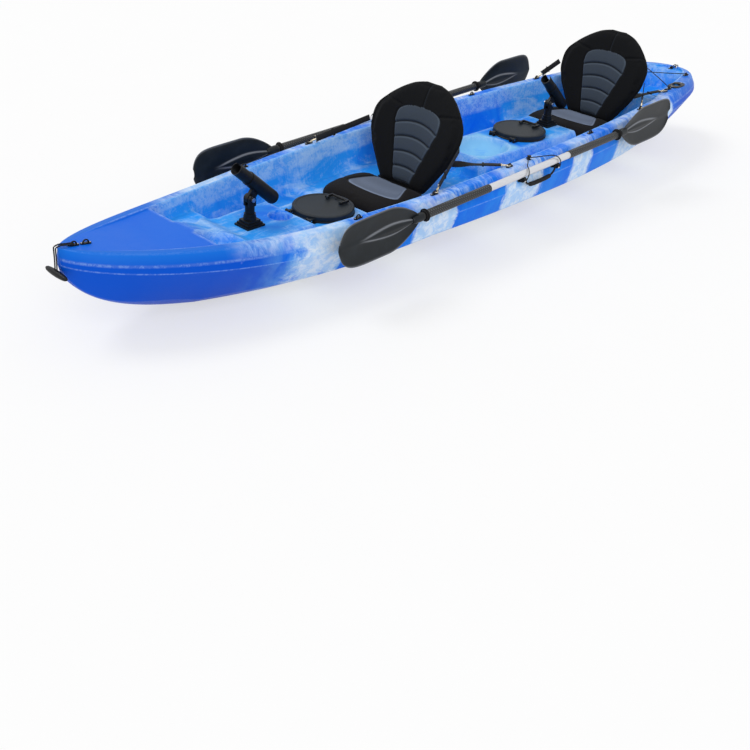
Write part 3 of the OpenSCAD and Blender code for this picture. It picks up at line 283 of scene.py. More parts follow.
class Finish:
    """A material round one Principled shader."""

    def __init__(self, name, constants):
        self.material = bpy.data.materials.new(name)
        self.material.use_nodes = True
        self.tree = self.material.node_tree
        self.shader = self.tree.nodes["Principled BSDF"]
        for socket, value in constants.items():
            self.shader.inputs[socket].default_value = value

    def node(self, kind, settings, values, out=0):
        made = self.tree.nodes.new(kind)
        for name, value in settings.items():
            if name == "stops":
                ramp_stops = made.color_ramp.elements
                while len(ramp_stops) < len(value):
                    ramp_stops.new(0.5)
                for stop, (place, level) in zip(ramp_stops, value):
                    stop.position = place
                    stop.color = (level, level, level, 1)
            else:
                setattr(made, name, value)
        for socket, value in values.items():
            self.put(made.inputs[socket], value)
        return Val(self, made.outputs[out])

    def put(self, socket, value):
        if isinstance(value, Val):
            self.tree.links.new(value.socket, socket)
        else:
            socket.default_value = value

    def feed(self, socket, value):
        self.put(self.shader.inputs[socket], value)

    def coat(self, colour, rough):
        self.feed("Base Color", colour)
        self.feed("Roughness", rough)
        return self.material

    def seen(self):
        """One for rays that show the backdrop: straight, mirrored and through glass."""
        straight, mirrored, through = (self.node("ShaderNodeLightPath", {}, {}, f"Is {kind} Ray")
                                       for kind in ("Camera", "Glossy", "Transmission"))
        return self.step(straight + mirrored + through, 0.0, 1.0)

    def place(self):
        return self.node("ShaderNodeTexCoord", {}, {}, "Object")

    def axes(self, vector):
        return [self.node("ShaderNodeSeparateXYZ", {}, {0: vector}, axis) for axis in range(3)]

    def vector(self, x, y, z):
        return self.node("ShaderNodeCombineXYZ", {}, {0: x, 1: y, 2: z})

    def noise(self, vector, scale, detail=3.0, rough=0.5, twist=0.0):
        return self.node("ShaderNodeTexNoise", {}, {
            "Vector": vector, "Scale": scale, "Detail": detail, "Roughness": rough, "Distortion": twist})

    def wave(self, vector, scale, way, twist=0.0, detail=2.0):
        return self.node("ShaderNodeTexWave", {"wave_type": "BANDS", "bands_direction": way}, {
            "Vector": vector, "Scale": scale, "Distortion": twist, "Detail": detail}, 1)

    def step(self, value, low, high):
        return self.node("ShaderNodeMapRange", {"interpolation_type": "SMOOTHSTEP"}, {
            "Value": value, "From Min": low, "From Max": high})

    def blend(self, share, a, b):
        return self.node("ShaderNodeMix", {"data_type": "RGBA"}, {0: share, 6: a, 7: b}, 2)

    def mask(self, name):
        return self.node("ShaderNodeAttribute", {"attribute_name": name}, {}, "Fac")

    def bump(self, height, strength, distance):
        self.feed("Normal", self.node("ShaderNodeBump", {}, {
            "Strength": strength, "Distance": distance, "Height": height}))


class Backdrop(Finish):
    """The world round the floor."""

    def __init__(self, world):
        self.tree = world.node_tree


def srgb(r, g, b):
    return tuple(((c / 255 + 0.055) / 1.055) ** 2.4 if c > 10 else c / 255 / 12.92 for c in (r, g, b)) + (1.0,)


def shade(colour, share):
    return tuple(c * share for c in colour[:3]) + (1.0,)


# Blues and whites of the hull, and its white side bands as (aft edge, fore edge, softness) in millimetres
ROYAL, MID_BLUE, AZURE = srgb(2, 80, 200), srgb(8, 108, 230), srgb(40, 150, 240)
PALE, MILK, MIST = srgb(170, 206, 246), srgb(216, 230, 248), srgb(132, 194, 234)
SIDE_BANDS = [(-1316, -1116, 26), (-962, -707, 26), (-496, -339, 26),
              (-107, 145, 26), (419, 640, 26), (960, 1150, 75)]


def marbled_hull():
    """Blue plastic with white swirled in: ragged bands on the sides, brushed wisps on rims and deck."""
    f = Finish("marbled_hull", {"Specular IOR Level": 0.07})
    place = f.place()
    x, y, z = f.axes(place)
    cloud = f.noise(place, 2.6, 6.0, 0.6, 0.8)
    patch = f.noise(f.vector(x * 6.0, y * 6.0, z * 4.0), 1.0, 5.0, 0.6, 0.9)
    brush = f.noise(f.vector(x * 34.0, y * 10.0, z * 6.0), 1.0, 6.0, 0.68, 1.5)
    streak = f.noise(f.vector(x * 5.0, y * 15.0, z * 13.0), 1.0, 6.0, 0.68, 1.0)
    fleck = f.noise(place, 32.0, 5.0, 0.7, 0.5)
    grain = f.noise(place, 120.0, 3.0, 0.7)
    speckle = fleck * 0.55 + grain * 0.45
    rim = f.mask("rim")
    ragged = x + (patch - 0.5) * 0.08 + (brush - 0.5) * (0.04 + rim * 0.14)
    stops = [(0.0, 0.0)]
    for low, high, soft in SIDE_BANDS:
        for edge, level in ((low - soft, 0.0), (low + soft, 1.0), (high - soft, 1.0), (high + soft, 0.0)):
            stops.append(((edge + HALF_L) / (2 * HALF_L), level))
    band = f.node("ShaderNodeValToRGB", {"stops": stops}, {0: ragged / (2 * HALF_L * MM) + 0.5})
    ends = f.step(abs(x + 0.04 + (cloud - 0.5) * 0.3), 1.16, 1.4)
    foredeck = f.step(x + (brush - 0.5) * 0.1, 1.3, 1.4)
    fore_cloud = f.step(x, 0.86, 0.98)

    side_white = f.step(band + (speckle - 0.5) * 0.9 + (patch - 0.5) * (0.3 + fore_cloud * 1.6), 0.3, 0.85)
    rim_swirl = brush * 0.6 + patch * 0.3 + speckle * 0.1 + band * 0.14 + fore_cloud * 0.1
    rim_white = f.step(rim_swirl, 0.44, 0.72) * (1 - foredeck)
    outer_blue = f.blend(f.step(patch * 0.7 + speckle * 0.3, 0.38, 0.66) * 0.6, MID_BLUE, AZURE)
    outer_blue = f.blend(fore_cloud * f.step(patch, 0.35, 0.65) * 0.7, outer_blue, MIST)
    outer_blue = f.blend(ends, outer_blue, ROYAL)
    band_white = f.blend(f.step(fleck, 0.4, 0.62), PALE, MILK)
    outer_colour = f.blend(side_white * (1 - rim) + rim_white * rim * 0.75, outer_blue, band_white)

    deck_swirl = cloud * 0.35 + streak * 0.5 + brush * 0.15 + (grain - 0.5) * 0.1
    wisp = f.step(deck_swirl, 0.48, 0.66) * (1 - foredeck)
    deck_blue = f.blend(f.step(cloud * 0.5 + patch * 0.5, 0.34, 0.55) * (1 - foredeck * 0.9), MID_BLUE, AZURE)
    deck_blue = f.blend(foredeck * 0.35, deck_blue, ROYAL)
    deck_colour = f.blend(wisp * 0.88, deck_blue, PALE)
    bowl_mist = f.mask("bowl") * f.step(streak + (grain - 0.5) * 0.1, 0.15, 0.5) * 0.9
    deck_colour = f.blend(bowl_mist, deck_colour, MIST)

    dots = 0.35 + f.step(speckle, 0.44, 0.56) * 0.65
    colour = f.blend(f.mask("outer"), deck_colour, outer_colour)
    # Painted highlight: the upward-facing bevel and rim top are lightened to azure near the ends.
    colour = f.blend(f.mask("outer") * rim * ends * 0.3, colour, AZURE)
    # Pale line along the hull's corners: the parting line at the crease is the plastic's own; the line on the
    # bevel ridge, chine and rim edge is a painted highlight.
    colour = f.blend(f.mask("seam") * dots * 0.35, colour, PALE)
    # Painted highlight: pale flecks on the deck's convex edges.
    colour = f.blend(f.mask("crest") * dots * 0.55, colour, PALE)
    f.bump(grain * 0.5 + fleck * 0.5, 0.16, 0.0012)
    return f.coat(colour, 0.34 + fleck * 0.14)


def moulded_black(name, base, rough, grain_scale=900.0, strength=0.25, rubbed=None):
    """Black plastic or rubber, a little worn; the last argument is the colour of a painted highlight where its
    mask is one.
    """
    f = Finish(name, {"Specular IOR Level": 0.22})
    place = f.place()
    grain = f.noise(place, grain_scale, 2.0, 0.6)
    cloud = f.noise(place, 14.0, 4.0, 0.6)
    worn = tuple(min(1.0, c * 1.9 + 0.004) for c in base[:3]) + (1.0,)
    colour = f.blend(f.step(cloud, 0.4, 0.75) * 0.6, base, worn)
    # Painted highlight: the given colour where the mask is one.
    if rubbed:
        colour = f.blend(f.mask("rubbed") * 0.7, colour, rubbed)
    f.bump(grain, strength, 0.0004)
    return f.coat(colour, rough + (cloud - 0.5) * 0.18 + (grain - 0.5) * 0.08)


def knit_cover(name, shell, panel):
    """Black knit shell with a woven panel where the mask is one, painted shade in its grooves, and lighter
    piping with a painted highlight on the backrest's channel lips.
    """
    f = Finish(name, {"Specular IOR Level": 0.1, "Sheen Weight": 0.03, "Sheen Roughness": 0.5})
    place = f.place()
    weave = f.wave(place, 130.0, "Y", 0.6, 1.0) * f.wave(place, 130.0, "Z", 0.6, 1.0)
    cloud = f.noise(place, 9.0, 4.0, 0.6)
    panel_mask = f.mask("panel")
    dark = f.blend(cloud * 0.7, shell, shade(shell, 1.8))
    light = f.blend(weave * 0.6 + (cloud - 0.5) * 0.5, panel, shade(panel, 1.5))
    # Painted shade: the grooves and the ditch round the panel are darkened to the shell's black.
    colour = f.blend(f.mask("groove") * 0.8, f.blend(panel_mask, dark, light), shell)
    # A lighter copy of the panel colour: the piping's own colour, and on the backrest a painted highlight on
    # each channel's lip.
    colour = f.blend(f.mask("piping") * 0.5, colour, shade(panel, 2.4))
    f.bump(weave + cloud * 0.4, 0.3, 0.0006)
    return f.coat(colour, 0.86 - panel_mask * 0.2 + (cloud - 0.5) * 0.1)


def webbing():
    f = Finish("black_webbing", {"Specular IOR Level": 0.3})
    place = f.place()
    rib = f.wave(place, 160.0, "DIAGONAL", 0.2)
    cloud = f.noise(place, 30.0, 3.0, 0.6)
    f.bump(rib, 0.5, 0.0005)
    return f.coat(f.blend(rib * 0.5 + cloud * 0.3, srgb(14, 14, 15), srgb(40, 40, 42)), 0.7 + rib * 0.12)


def metal(name, base, rough):
    f = Finish(name, {"Metallic": 1.0})
    place = f.place()
    x, y, z = f.axes(place)
    brushed = f.noise(f.vector(x * 20.0, y * 400.0, z * 400.0), 1.0, 3.0, 0.6)
    cloud = f.noise(place, 60.0, 3.0, 0.6)
    f.bump(brushed, 0.08, 0.0002)
    return f.coat(f.blend(cloud, base, shade(base, 0.82)), rough + (brushed - 0.5) * 0.14)


def paddle_tube():
    """Satin aluminium in the middle, black on both ends."""
    f = Finish("paddle_tube", {})
    x, y, z = f.axes(f.place())
    ends = f.step(abs(x + 0.0105), 0.3, 0.31)
    brushed = f.noise(f.vector(x * 30.0, y * 500.0, z * 500.0), 1.0, 3.0, 0.6)
    satin = f.blend(brushed, srgb(196, 198, 204), srgb(228, 229, 233))
    f.feed("Metallic", 0.75 - ends * 0.75)
    return f.coat(f.blend(ends, satin, srgb(9, 10, 12)), 0.34 + (brushed - 0.5) * 0.12 + ends * 0.1)


def knurled_grip():
    f = Finish("knurled_grip", {"Specular IOR Level": 0.5})
    x, y, z = f.axes(f.place())
    knurl = f.wave(f.vector(x + z, y, z), 27.0, "X") * f.wave(f.vector(x - z, y, z), 27.0, "X")
    f.bump(knurl, 0.5, 0.0008)
    return f.coat(f.blend(f.step(knurl, 0.45, 0.75), srgb(6, 7, 8), srgb(74, 78, 84)), 0.5 - knurl * 0.12)


def shock_cord():
    f = Finish("shock_cord", {"Specular IOR Level": 0.3})
    braid = f.wave(f.place(), 220.0, "DIAGONAL", 1.0)
    f.bump(braid, 0.5, 0.0004)
    return f.coat(f.blend(braid, srgb(10, 10, 11), srgb(28, 28, 30)), 0.7 + braid * 0.1)


hull_finish = marbled_hull()
black_finish = moulded_black("moulded_black", srgb(11, 12, 14), 0.42)
lid_finish = moulded_black("lid_charcoal", srgb(24, 30, 36), 0.5, 500.0, 0.5)
# The blade's last colour is its painted highlight.
blade_finish = moulded_black("blade_black", srgb(17, 23, 28), 0.38, 700.0, 0.2, srgb(150, 154, 162))
rubber_finish = moulded_black("soft_rubber", srgb(11, 11, 12), 0.6)
seat_finish = knit_cover("seat_cover", srgb(11, 12, 14), srgb(54, 62, 72))
pad_finish = knit_cover("pad_cover", srgb(15, 14, 15), srgb(92, 102, 120))
webbing_finish = webbing()
brass_finish = metal("plated_brass", srgb(214, 202, 176), 0.24)
steel_finish = metal("bright_steel", srgb(196, 197, 199), 0.28)
tube_finish = paddle_tube()
grip_finish = knurled_grip()
cord_finish = shock_cord()

SLOT_FINISH = {
    "hull_plastic": hull_finish, "black_plastic": black_finish, "seal_rubber": rubber_finish,
    "steel": steel_finish, "seat_fabric": seat_finish, "webbing": webbing_finish, "brass": brass_finish,
    "shaft": tube_finish, "cord": cord_finish, "rubber": rubber_finish}
for row in frame["record"]["subparts"]:
    finish = SLOT_FINISH[row["material_slot"]]
    if row["node"].endswith("lid"):
        finish = lid_finish
    if row["node"].endswith("grips"):
        finish = grip_finish
    slots = nodes[row["node"]].data.materials
    slots.clear()
    slots.append(finish)


# Making pieces
def add_piece(name, mesh, finish, body, sharp):
    """Adds a piece with smooth faces and edges sharper than this angle kept, on its body if it has one."""
    piece = placed(name, mesh)
    if not mesh.materials:
        mesh.materials.append(finish)
    form = bmesh.new()
    form.from_mesh(mesh)
    limit = math.radians(sharp)
    for face in form.faces:
        face.smooth = True
    for edge in form.edges:
        edge.smooth = len(edge.link_faces) != 2 or edge.calc_face_angle(0.0) < limit
    form.to_mesh(mesh)
    form.free()
    if body:
        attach(piece, body)
    return piece


def mesh_of(name, points, faces):
    mesh = bpy.data.meshes.new(name)
    mesh.from_pydata([tuple(c * MM for c in p) for p in points], [], faces)
    form = bmesh.new()
    form.from_mesh(mesh)
    bmesh.ops.recalc_face_normals(form, faces=form.faces)
    form.to_mesh(mesh)
    form.free()
    return mesh


def mark(mesh, **masks):
    """Stores masks for the mesh's finish."""
    for name, values in masks.items():
        mesh.attributes.new(name, "FLOAT", "POINT").data.foreach_set("value", values.astype(np.float32))


def skin_faces(rings, sides, first=0):
    faces = [(first + i * sides + j, first + i * sides + (j + 1) % sides,
              first + (i + 1) * sides + (j + 1) % sides, first + (i + 1) * sides + j)
             for i in range(rings - 1) for j in range(sides)]
    return faces + [tuple(first + end * sides + j for j in range(sides)) for end in (0, rings - 1)]


def baked(piece):
    """The piece's mesh with its modifiers applied."""
    bpy.context.view_layer.update()
    shown = bpy.context.evaluated_depsgraph_get()
    mesh = bpy.data.meshes.new_from_object(piece.evaluated_get(shown))
    piece.modifiers.clear()
    piece.data = mesh
    return mesh


class Stock:
    """Points and faces of one piece, gathered from several forms."""

    def __init__(self):
        self.points, self.faces = [], []

    def loft(self, rings):
        self.faces += skin_faces(len(rings), len(rings[0]), len(self.points))
        for ring in rings:
            self.points += [tuple(p) for p in ring]

    def turned(self, profile, spot, axis, sides=24):
        """A closed turned form; profile is [radius, height] from one pole to the other."""
        turn = Vector((0, 0, 1)).rotation_difference(Vector(axis)).to_matrix()
        rings = []
        for r, h in profile:
            rings.append([turn @ Vector((r * math.cos(a), r * math.sin(a), h)) + Vector(spot)
                          for a in (2 * math.pi * k / sides for k in range(sides))])
        self.loft(rings)

    def mesh(self, name):
        return mesh_of(name, self.points, self.faces)


def spline(points, steps):
    """A smooth line through the points."""
    p = [Vector(q) for q in points]
    line = []
    for i in range(len(p) - 1):
        a, b, c, d = p[max(i - 1, 0)], p[i], p[i + 1], p[min(i + 2, len(p) - 1)]
        for k in range(steps):
            t = k / steps
            line.append(0.5 * (2 * b + (c - a) * t + (2 * a - 5 * b + 4 * c - d) * t * t
                               + (3 * b - a - 3 * c + d) * t ** 3))
    return line + [p[-1]]


# Cords
CORD_STEPS, GRAB_CORD_D, STRAND_Y = 6, 4.4, 5.6


def lay_cord(name, points, diameter, body, node):
    line = [q * MM for q in spline(points, CORD_STEPS)]
    data = bpy.data.curves.new(name, "CURVE")
    data.dimensions = "3D"
    run = data.splines.new("POLY")
    run.points.add(len(line) - 1)
    for spot, q in zip(run.points, line):
        spot.co = (*q, 1)
    data.bevel_depth = diameter / 2 * MM
    data.bevel_resolution = 3
    data.use_fill_caps = True
    data.materials.append(cord_finish)
    piece = placed(name, data)
    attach(piece, body)
    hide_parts(node)
    length = sum((b - a).length for a, b in zip(line, line[1:]))
    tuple(line[0])


SHAFT_Y = HALF_W + 10
SADDLE_X = [s * HANDLE_SPAN / 2 - 62 for s in (1, -1)]
PITCH = math.radians(SHAFT_PITCH)


def shaft_height(x):
    return SHAFT_Z - x * math.tan(PITCH)


def saddle_z(x):
    return shaft_height(x) - (SHAFT_R + SADDLE_R + TURN_GAP) / math.cos(PITCH)


HANDLE_X = sum(SADDLE_X) / 2
HANDLE_Z = sum(saddle_z(x) for x in SADDLE_X) / 2
SADDLE_IN, SADDLE_OUT = 11, 26
HANDLE_AXIS_Y = beam(HANDLE_X) - SADDLE_IN + SEAT_GAP + SADDLE_OUT


def keeper_leg(k, knob):
    x, d = SADDLE_X[k], 1 if k == 0 else -1
    z = shaft_height(x)
    return [(x, HANDLE_AXIS_Y + SADDLE_R + CORD_D / 2 + 0.5, saddle_z(x) - 1),
            (x - d * 3, SHAFT_Y + 20, z - 13), (x - d * 8, SHAFT_Y + 20, z + 4),
            (x - d * 16, SHAFT_Y + 10, z + 18), (x - d * 30, SHAFT_Y - 8, z + 22),
            (knob[0] + d * 60, knob[1] + 38, knob[2] + 14), (knob[0] + d * 12, knob[1] + 3, knob[2] + 7),
            (knob[0] + d * 7.5, knob[1] - 6, knob[2] + 7)]


def lay_keepers():
    knob = (HANDLE_X, inner_y(HANDLE_X) + 22, sheer(HANDLE_X))
    route = keeper_leg(0, knob) + [(knob[0], knob[1] - 9, knob[2] + 7)] + keeper_leg(1, knob)[::-1]
    for side, name in SIDES:
        lay_cord(name + "_shock_cord", [(x, side * y, z) for x, y, z in route], CORD_D,
                 "hull", name + "_paddle_keeper")


def rim_eye(x, side):
    return Vector((x, side * (inner_y(x) + 19), sheer(x)))


TANK_EYE_X = (TANK_X - 40, TANK_END_X + 40)


def lay_tank_cords():
    for side, name in SIDES:
        a = rim_eye(TANK_EYE_X[0], side) + Vector((0, 0, SEAT_GAP + 7.6))
        b = rim_eye(TANK_EYE_X[1], -side) + Vector((0, 0, SEAT_GAP + 7.6))
        lift = Vector((0, 0, side * 5))
        route = [a + Vector((8, side * 12, -1)), a + Vector((3, side * 4, 0)), a - Vector((9, side * 10, 0))]
        route += [a.lerp(b, t) + lift * math.sin(math.pi * t) for t in (0.15, 0.3, 0.5, 0.7, 0.85)]
        route += [b + Vector((9, side * 10, 0)), b - Vector((3, side * 4, 0)), b + Vector((-8, -side * 12, -1))]
        lay_cord(name + "_tank_cord", route, CORD_D, "hull", "tankwell_cord")


def end_bend(end):
    return Vector((end * (HALF_L + 7), 0, sheer(end * HALF_L) + 2))


BOW_EYE_X, STERN_EYE_X = HALF_L - 55, 55 - HALF_L
STERN_EYE_SLOPE = math.atan((deck_z(STERN_EYE_X - 19, 0) - deck_z(STERN_EYE_X + 19, 0)) / 38)


def lay_grab_cords():
    for end, name, eye in ((1, "bow", BOW_EYE_X), (-1, "stern", STERN_EYE_X)):
        slope = math.tan(sheer_slope(eye) if end > 0 else STERN_EYE_SLOPE)
        tip = end_bend(end)
        strand = [(eye + end * x, y, deck_z(eye, 0) + SEAT_GAP + 7 - end * x * slope)
                  for x, y in ((-0.5, 0), (1.1, 4), (5, STRAND_Y), (12, STRAND_Y), (22, STRAND_Y))]
        strand += [(end * (HALF_L - 10), STRAND_Y, tip.z + 4.5), (tip.x - end * 0.8, STRAND_Y, tip.z + 1.8)]
        route = [(x, -y, z) for x, y, z in strand[:0:-1]] + strand
        lay_cord(name + "_deck_cord", route, GRAB_CORD_D, "hull", name + "_tie_cord")
        for s, hand in SIDES:
            hang = [tip + Vector((end * x, s * STRAND_Y, z)) for x, z in
                    ((0, 1), (1.5, -6), (2, -40), (4, 11 - TOGGLE_DROP + SEAT_GAP))]
            lay_cord(f"{name}_{hand}_strand", hang, GRAB_CORD_D, name + "_grab", name + "_cord")


lay_keepers()
lay_tank_cords()
lay_grab_cords()


# Moulded hull
def rounded(corners, steps=4):
    """A line of [y, z, seam] with each corner turned on its radius."""
    line = []
    for i, (spot, radius, seam) in enumerate(corners):
        if radius == 0:
            line.append((*spot, seam))
            continue
        p, a, b = Vector(spot), Vector(corners[i - 1][0]), Vector(corners[i + 1][0])
        reach = min(radius, 0.42 * (a - p).length, 0.42 * (b - p).length)
        start = p + (a - p).normalized() * reach if (a - p).length > 1e-6 else p
        end = p + (b - p).normalized() * reach if (b - p).length > 1e-6 else p
        for k in range(steps + 1):
            t = k / steps
            q = start * (1 - t) ** 2 + p * (2 * t * (1 - t)) + end * t * t
            line.append((q.x, q.y, seam * (1 - abs(2 * t - 1))))
    return line


WALL_CUTS, FLOOR_CUTS, SIDE_CUTS, TOP_CUTS = 14, 6, 9, 16


def hull_half(x):
    """Half section as [y, z, outer, rim, seam, crest, bowl], keel to deck centre; seam is partly a painted
    highlight and crest is a painted highlight on the deck's convex edges.
    """
    b, k, top = beam(x), keel(x), sheer(x)
    cy, cz = chine(x)
    iy, rim = inner_y(x), rim_top_y(x)
    s = x / HALF_L
    crease = max(top - CREASE_DROP + 20 * s * s, cz + 3)
    bevel_z = max(top - BEVEL_DROP, mix(crease, top, 0.1))
    # The last number of each corner is its pale line: at the crease it is the moulding's parting line; at the
    # bevel ridge, chine and rim edge it is a painted highlight.
    corners = [((0, k), 0, 0), ((min(KEEL_W, 0.3 * cy), k), 20, 0), ((0.72 * cy, mix(k, cz, 0.52)), 12, 0),
               ((cy, cz), 7, 0.3), ((b, crease), 4, 1), ((max(0.6 * b, b - BEVEL_IN), bevel_z), 7, 1),
               ((rim, top), 9, 0.3), ((mix(iy, rim, 0.15), top), 0, 0)]
    line = [(y, z, 1.0, smooth((z - bevel_z) / 12), seam, 0.0, 0.0)
            for y, z, seam in rounded(corners)]
    width = wall_w(x)
    cw, cs = console(x)
    floor_y = iy - width
    ys = [iy - width * i / WALL_CUTS for i in range(WALL_CUTS + 1)]
    ys += [mix(floor_y, cw + cs, (i + 1) / FLOOR_CUTS) for i in range(FLOOR_CUTS - 1)]
    ys += [cw + cs * i / SIDE_CUTS for i in range(SIDE_CUTS, -1, -1)]
    ys += [cw * i / TOP_CUTS for i in range(TOP_CUTS - 1, -1, -1)]
    for i, y in enumerate(ys):
        z = deck_z(x, y)
        # Painted highlight: the deck's convex edges are marked here to be lightened.
        drop = max(2 * z - deck_z(x + 13, y) - deck_z(x - 13, y), 2 * z - deck_z(x, y + 13) - deck_z(x, y - 13))
        crest = min(1.0, max(0.0, drop / 9))
        bowl = smooth((x - BOWL_X + 150) / 40) * smooth((BOWL_X + 150 - x) / 40) * smooth((135 - y) / 30)
        line.append((y, z, 0.0, 1.0 if i < 3 else 0.0, 0.0, crest, bowl))
    return line


def hull_stations():
    ends = (1.5, 5, 12, 26, 50, 88, 140)
    keys = {HALF_L - d for d in ends} | {d - HALF_L for d in ends}
    keys |= {x for x, _ in FLOOR_LINE + CONSOLE_LINE if abs(x) < HALF_L - 150}
    keys = sorted(keys, reverse=True)
    places = []
    for a, b in zip(keys, keys[1:]):
        gap = 8.0 if b > BULKHEAD_X and a < STEP_X else 14.0
        count = max(5 if a - b < 60 else 1, math.ceil((a - b) / gap))
        places += [a + (b - a) * i / count for i in range(count)]
    return places + [keys[-1]]


def hull_cutter():
    """Wells, cup, drain holes, rod tubes and handle seats let into the shell."""
    cut = Stock()
    for x, z in ((FRONT_HATCH_X, FRONT_HATCH_Z), (REAR_HATCH_X, REAR_CONSOLE_Z)):
        cut.turned([(1, -85), (91, -85), (97, 4), (1, 4)], (x, 0, z), (0, 0, 1), 64)
    cup = [(1, -55), (31, -55), (34, -53), (35.5, -49), (39, -10),
           (41, -4), (44, -1.2), (49, 0.3), (50, 6), (1, 6)]
    cut.turned(cup, (CUP_X, 0, FRONT_TERRACE_Z), (0, 0, 1), 64)
    for x, y in drain_places():
        cut.turned([(1, -16), (16, -16), (18.5, 4), (1, 4)], (x, y, floor_z(x)), (0, 0, 1), 32)
    for side in (-1, 1):
        spot, axis = flush_place(side)
        cut.turned([(1, -100), (25.8, -100), (25.8, 60), (1, 60)], spot, axis, 40)
        for x in SADDLE_X:
            seat = (x, side * (beam(x) - SADDLE_IN), saddle_z(x))
            cut.turned([(1, 0), (16, 0), (16, 40), (1, 40)], seat, (0, side, 0), 32)
    return cut.mesh("hull_cutter")


def drain_places():
    places = []
    for s in (-1, 1):
        for x in (CUP_X, BOWL_X):
            cw, cs = console(x)
            places.append((x, s * mix(cw + cs, inner_y(x) - wall_w(x), 0.5)))
        places += [(FRONT_PAD_X - PAD_L - 75, s * 150), ((TANK_X + TANK_END_X) / 2, s * 70)]
    return places


FLUSH_X = mix(TANK_X, TANK_END_X, 0.325)


def flush_place(side):
    lean = sheer_slope(FLUSH_X) - math.radians(24)
    y = side * mix(inner_y(FLUSH_X), rim_top_y(FLUSH_X), 0.5)
    return (FLUSH_X, y, sheer(FLUSH_X)), (math.sin(lean), 0, math.cos(lean))


def mould_hull():
    halves = [(x, hull_half(x)) for x in hull_stations()]
    points, marks = [], []
    for x, half in halves:
        ring = half + [(-p[0], *p[1:]) for p in half[-2:0:-1]]
        points += [(x, p[0], p[1]) for p in ring]
        marks += [p[2:] for p in ring]
    sides = len(points) // len(halves)
    mesh = mesh_of("hull_shell", points, skin_faces(len(halves), sides))
    mark(mesh, **dict(zip(("outer", "rim", "seam", "crest", "bowl"), np.array(marks).T)))
    blank, tool = placed("hull_blank", mesh), placed("hull_tool", hull_cutter())
    cut = blank.modifiers.new("wells", "BOOLEAN")
    cut.object, cut.operation, cut.solver = tool, "DIFFERENCE", "EXACT"
    mesh = baked(blank)
    for o in (blank, tool):
        bpy.data.objects.remove(o)
    mesh.materials.clear()
    shell = add_piece("hull_shell", mesh, hull_finish, "hull", 38.0)
    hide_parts("moulded_hull")


mould_hull()

# Seats
HINGE_H, HINGE_AFT, HINGE_UP = 52.0, 24, 10
# Each seat's name, pad front, height of its floor, and the backrest's hinge
SEATS = [(name, x, z, Vector((x - PAD_L - HINGE_AFT, 0, z + PAD_T + HINGE_UP)))
         for name, x, z in (("front", FRONT_PAD_X, FRONT_SEAT_Z), ("rear", REAR_PAD_X, REAR_SEAT_Z))]
ACROSS = [math.sin(math.pi / 2 * (2 * j / 20 - 1)) for j in range(21)]
VOXEL, PLUMP, CLOTH_STEPS, PAD_LIFT = 0.005, 0.005, 20, 0.0012
LEAN = Matrix.Rotation(math.radians(-BACK_LEAN), 4, "Y")
OUTLINE_V = np.array([0, 0.1, 0.2, 0.3, 0.45, 0.58, 0.65, 0.7, 0.75, 0.8, 0.85, 0.9, 0.95, 0.98, 1])
OUTLINE_W = np.array([0.5, 0.63, 0.75, 0.87, 0.98, 1, 0.985, 0.945, 0.88, 0.8, 0.705, 0.595, 0.45, 0.33, 0.14])
PANEL_LOW, PANEL_TOP, CHANNELS = 0.06, 0.75, 5


def smooth_all(t):
    k = np.clip(t, 0, 1)
    return k * k * (3 - 2 * k)


def back_half(v):
    return BACK_W * sum(np.interp(np.asarray(v) + d, OUTLINE_V, OUTLINE_W) for d in (-0.012, 0, 0.012)) / 3


def back_sag(y):
    return 42 * (y / BACK_W) ** 2 - 0.62 * BACK_T - 6


def on_back(pivot, t, y, h):
    return pivot + (LEAN @ Vector((t, 0, h - HINGE_H))) + Vector((0, y, 0))


def cushion_mesh(name, us, vs, both):
    """Closed form with two faces over one grid; both gives its two points at a place on the grid."""
    m, n = len(vs), len(us)
    base = m * n
    faces = [(i * n + j, i * n + j + 1, (i + 1) * n + j + 1, (i + 1) * n + j)
             for i in range(m - 1) for j in range(n - 1)]
    faces += [tuple(base + q for q in f[::-1]) for f in faces]
    edge = list(range(n - 1)) + [i * n + n - 1 for i in range(m - 1)]
    edge += [(m - 1) * n + j for j in range(n - 1, 0, -1)] + [i * n for i in range(m - 1, 0, -1)]
    for a, b in zip(edge, edge[1:] + edge[:1]):
        faces.append((a, b, base + b, base + a))
    pairs = [both(u, v) for v in vs for u in us]
    return mesh_of(name, [p[0] for p in pairs] + [p[1] for p in pairs], faces)


def spots_of(mesh):
    return np.array([v.co for v in mesh.vertices])


def move_to(mesh, spots):
    mesh.vertices.foreach_set("co", spots.astype(np.float32).ravel())


def plumped(mesh):
    """Remeshes a cover, blows it up as cloth under pressure, and returns its smoothed mesh."""
    cover = placed("cover", mesh)
    remesh = cover.modifiers.new("remesh", "REMESH")
    remesh.mode, remesh.voxel_size = "VOXEL", VOXEL
    baked(cover)
    rest = spots_of(cover.data)
    cloth = cover.modifiers.new("cloth", "CLOTH")
    cloth.settings.use_pressure = True
    cloth.settings.uniform_pressure_force = 4.0
    cloth.settings.effector_weights.gravity = 0.0
    for step in range(1, CLOTH_STEPS + 1):
        scene.frame_set(step)
    shown = cover.evaluated_get(bpy.context.evaluated_depsgraph_get()).to_mesh()
    moved = spots_of(shown) - rest
    cover.modifiers.clear()
    scene.frame_set(1)
    size = np.maximum(np.linalg.norm(moved, axis=1, keepdims=True), 1e-9)
    moved *= np.minimum(1.0, PLUMP / size)
    move_to(cover.data, rest + moved)
    soften = cover.modifiers.new("soften", "SMOOTH")
    soften.factor, soften.iterations = 0.5, 4
    finer = cover.modifiers.new("finer", "SUBSURF")
    finer.levels = finer.render_levels = 1
    made = baked(cover)
    bpy.data.objects.remove(cover)
    return made


def ridge(distance, width):
    return np.exp(-(distance / width) ** 2)


def panel_half(v):
    corner = np.clip((v - 0.62) / (PANEL_TOP - 0.62), 0, 1)
    return mix(44, 112, np.clip((v - PANEL_LOW) / 0.52, 0, 1)) * (1 - corner ** 3) ** 0.45


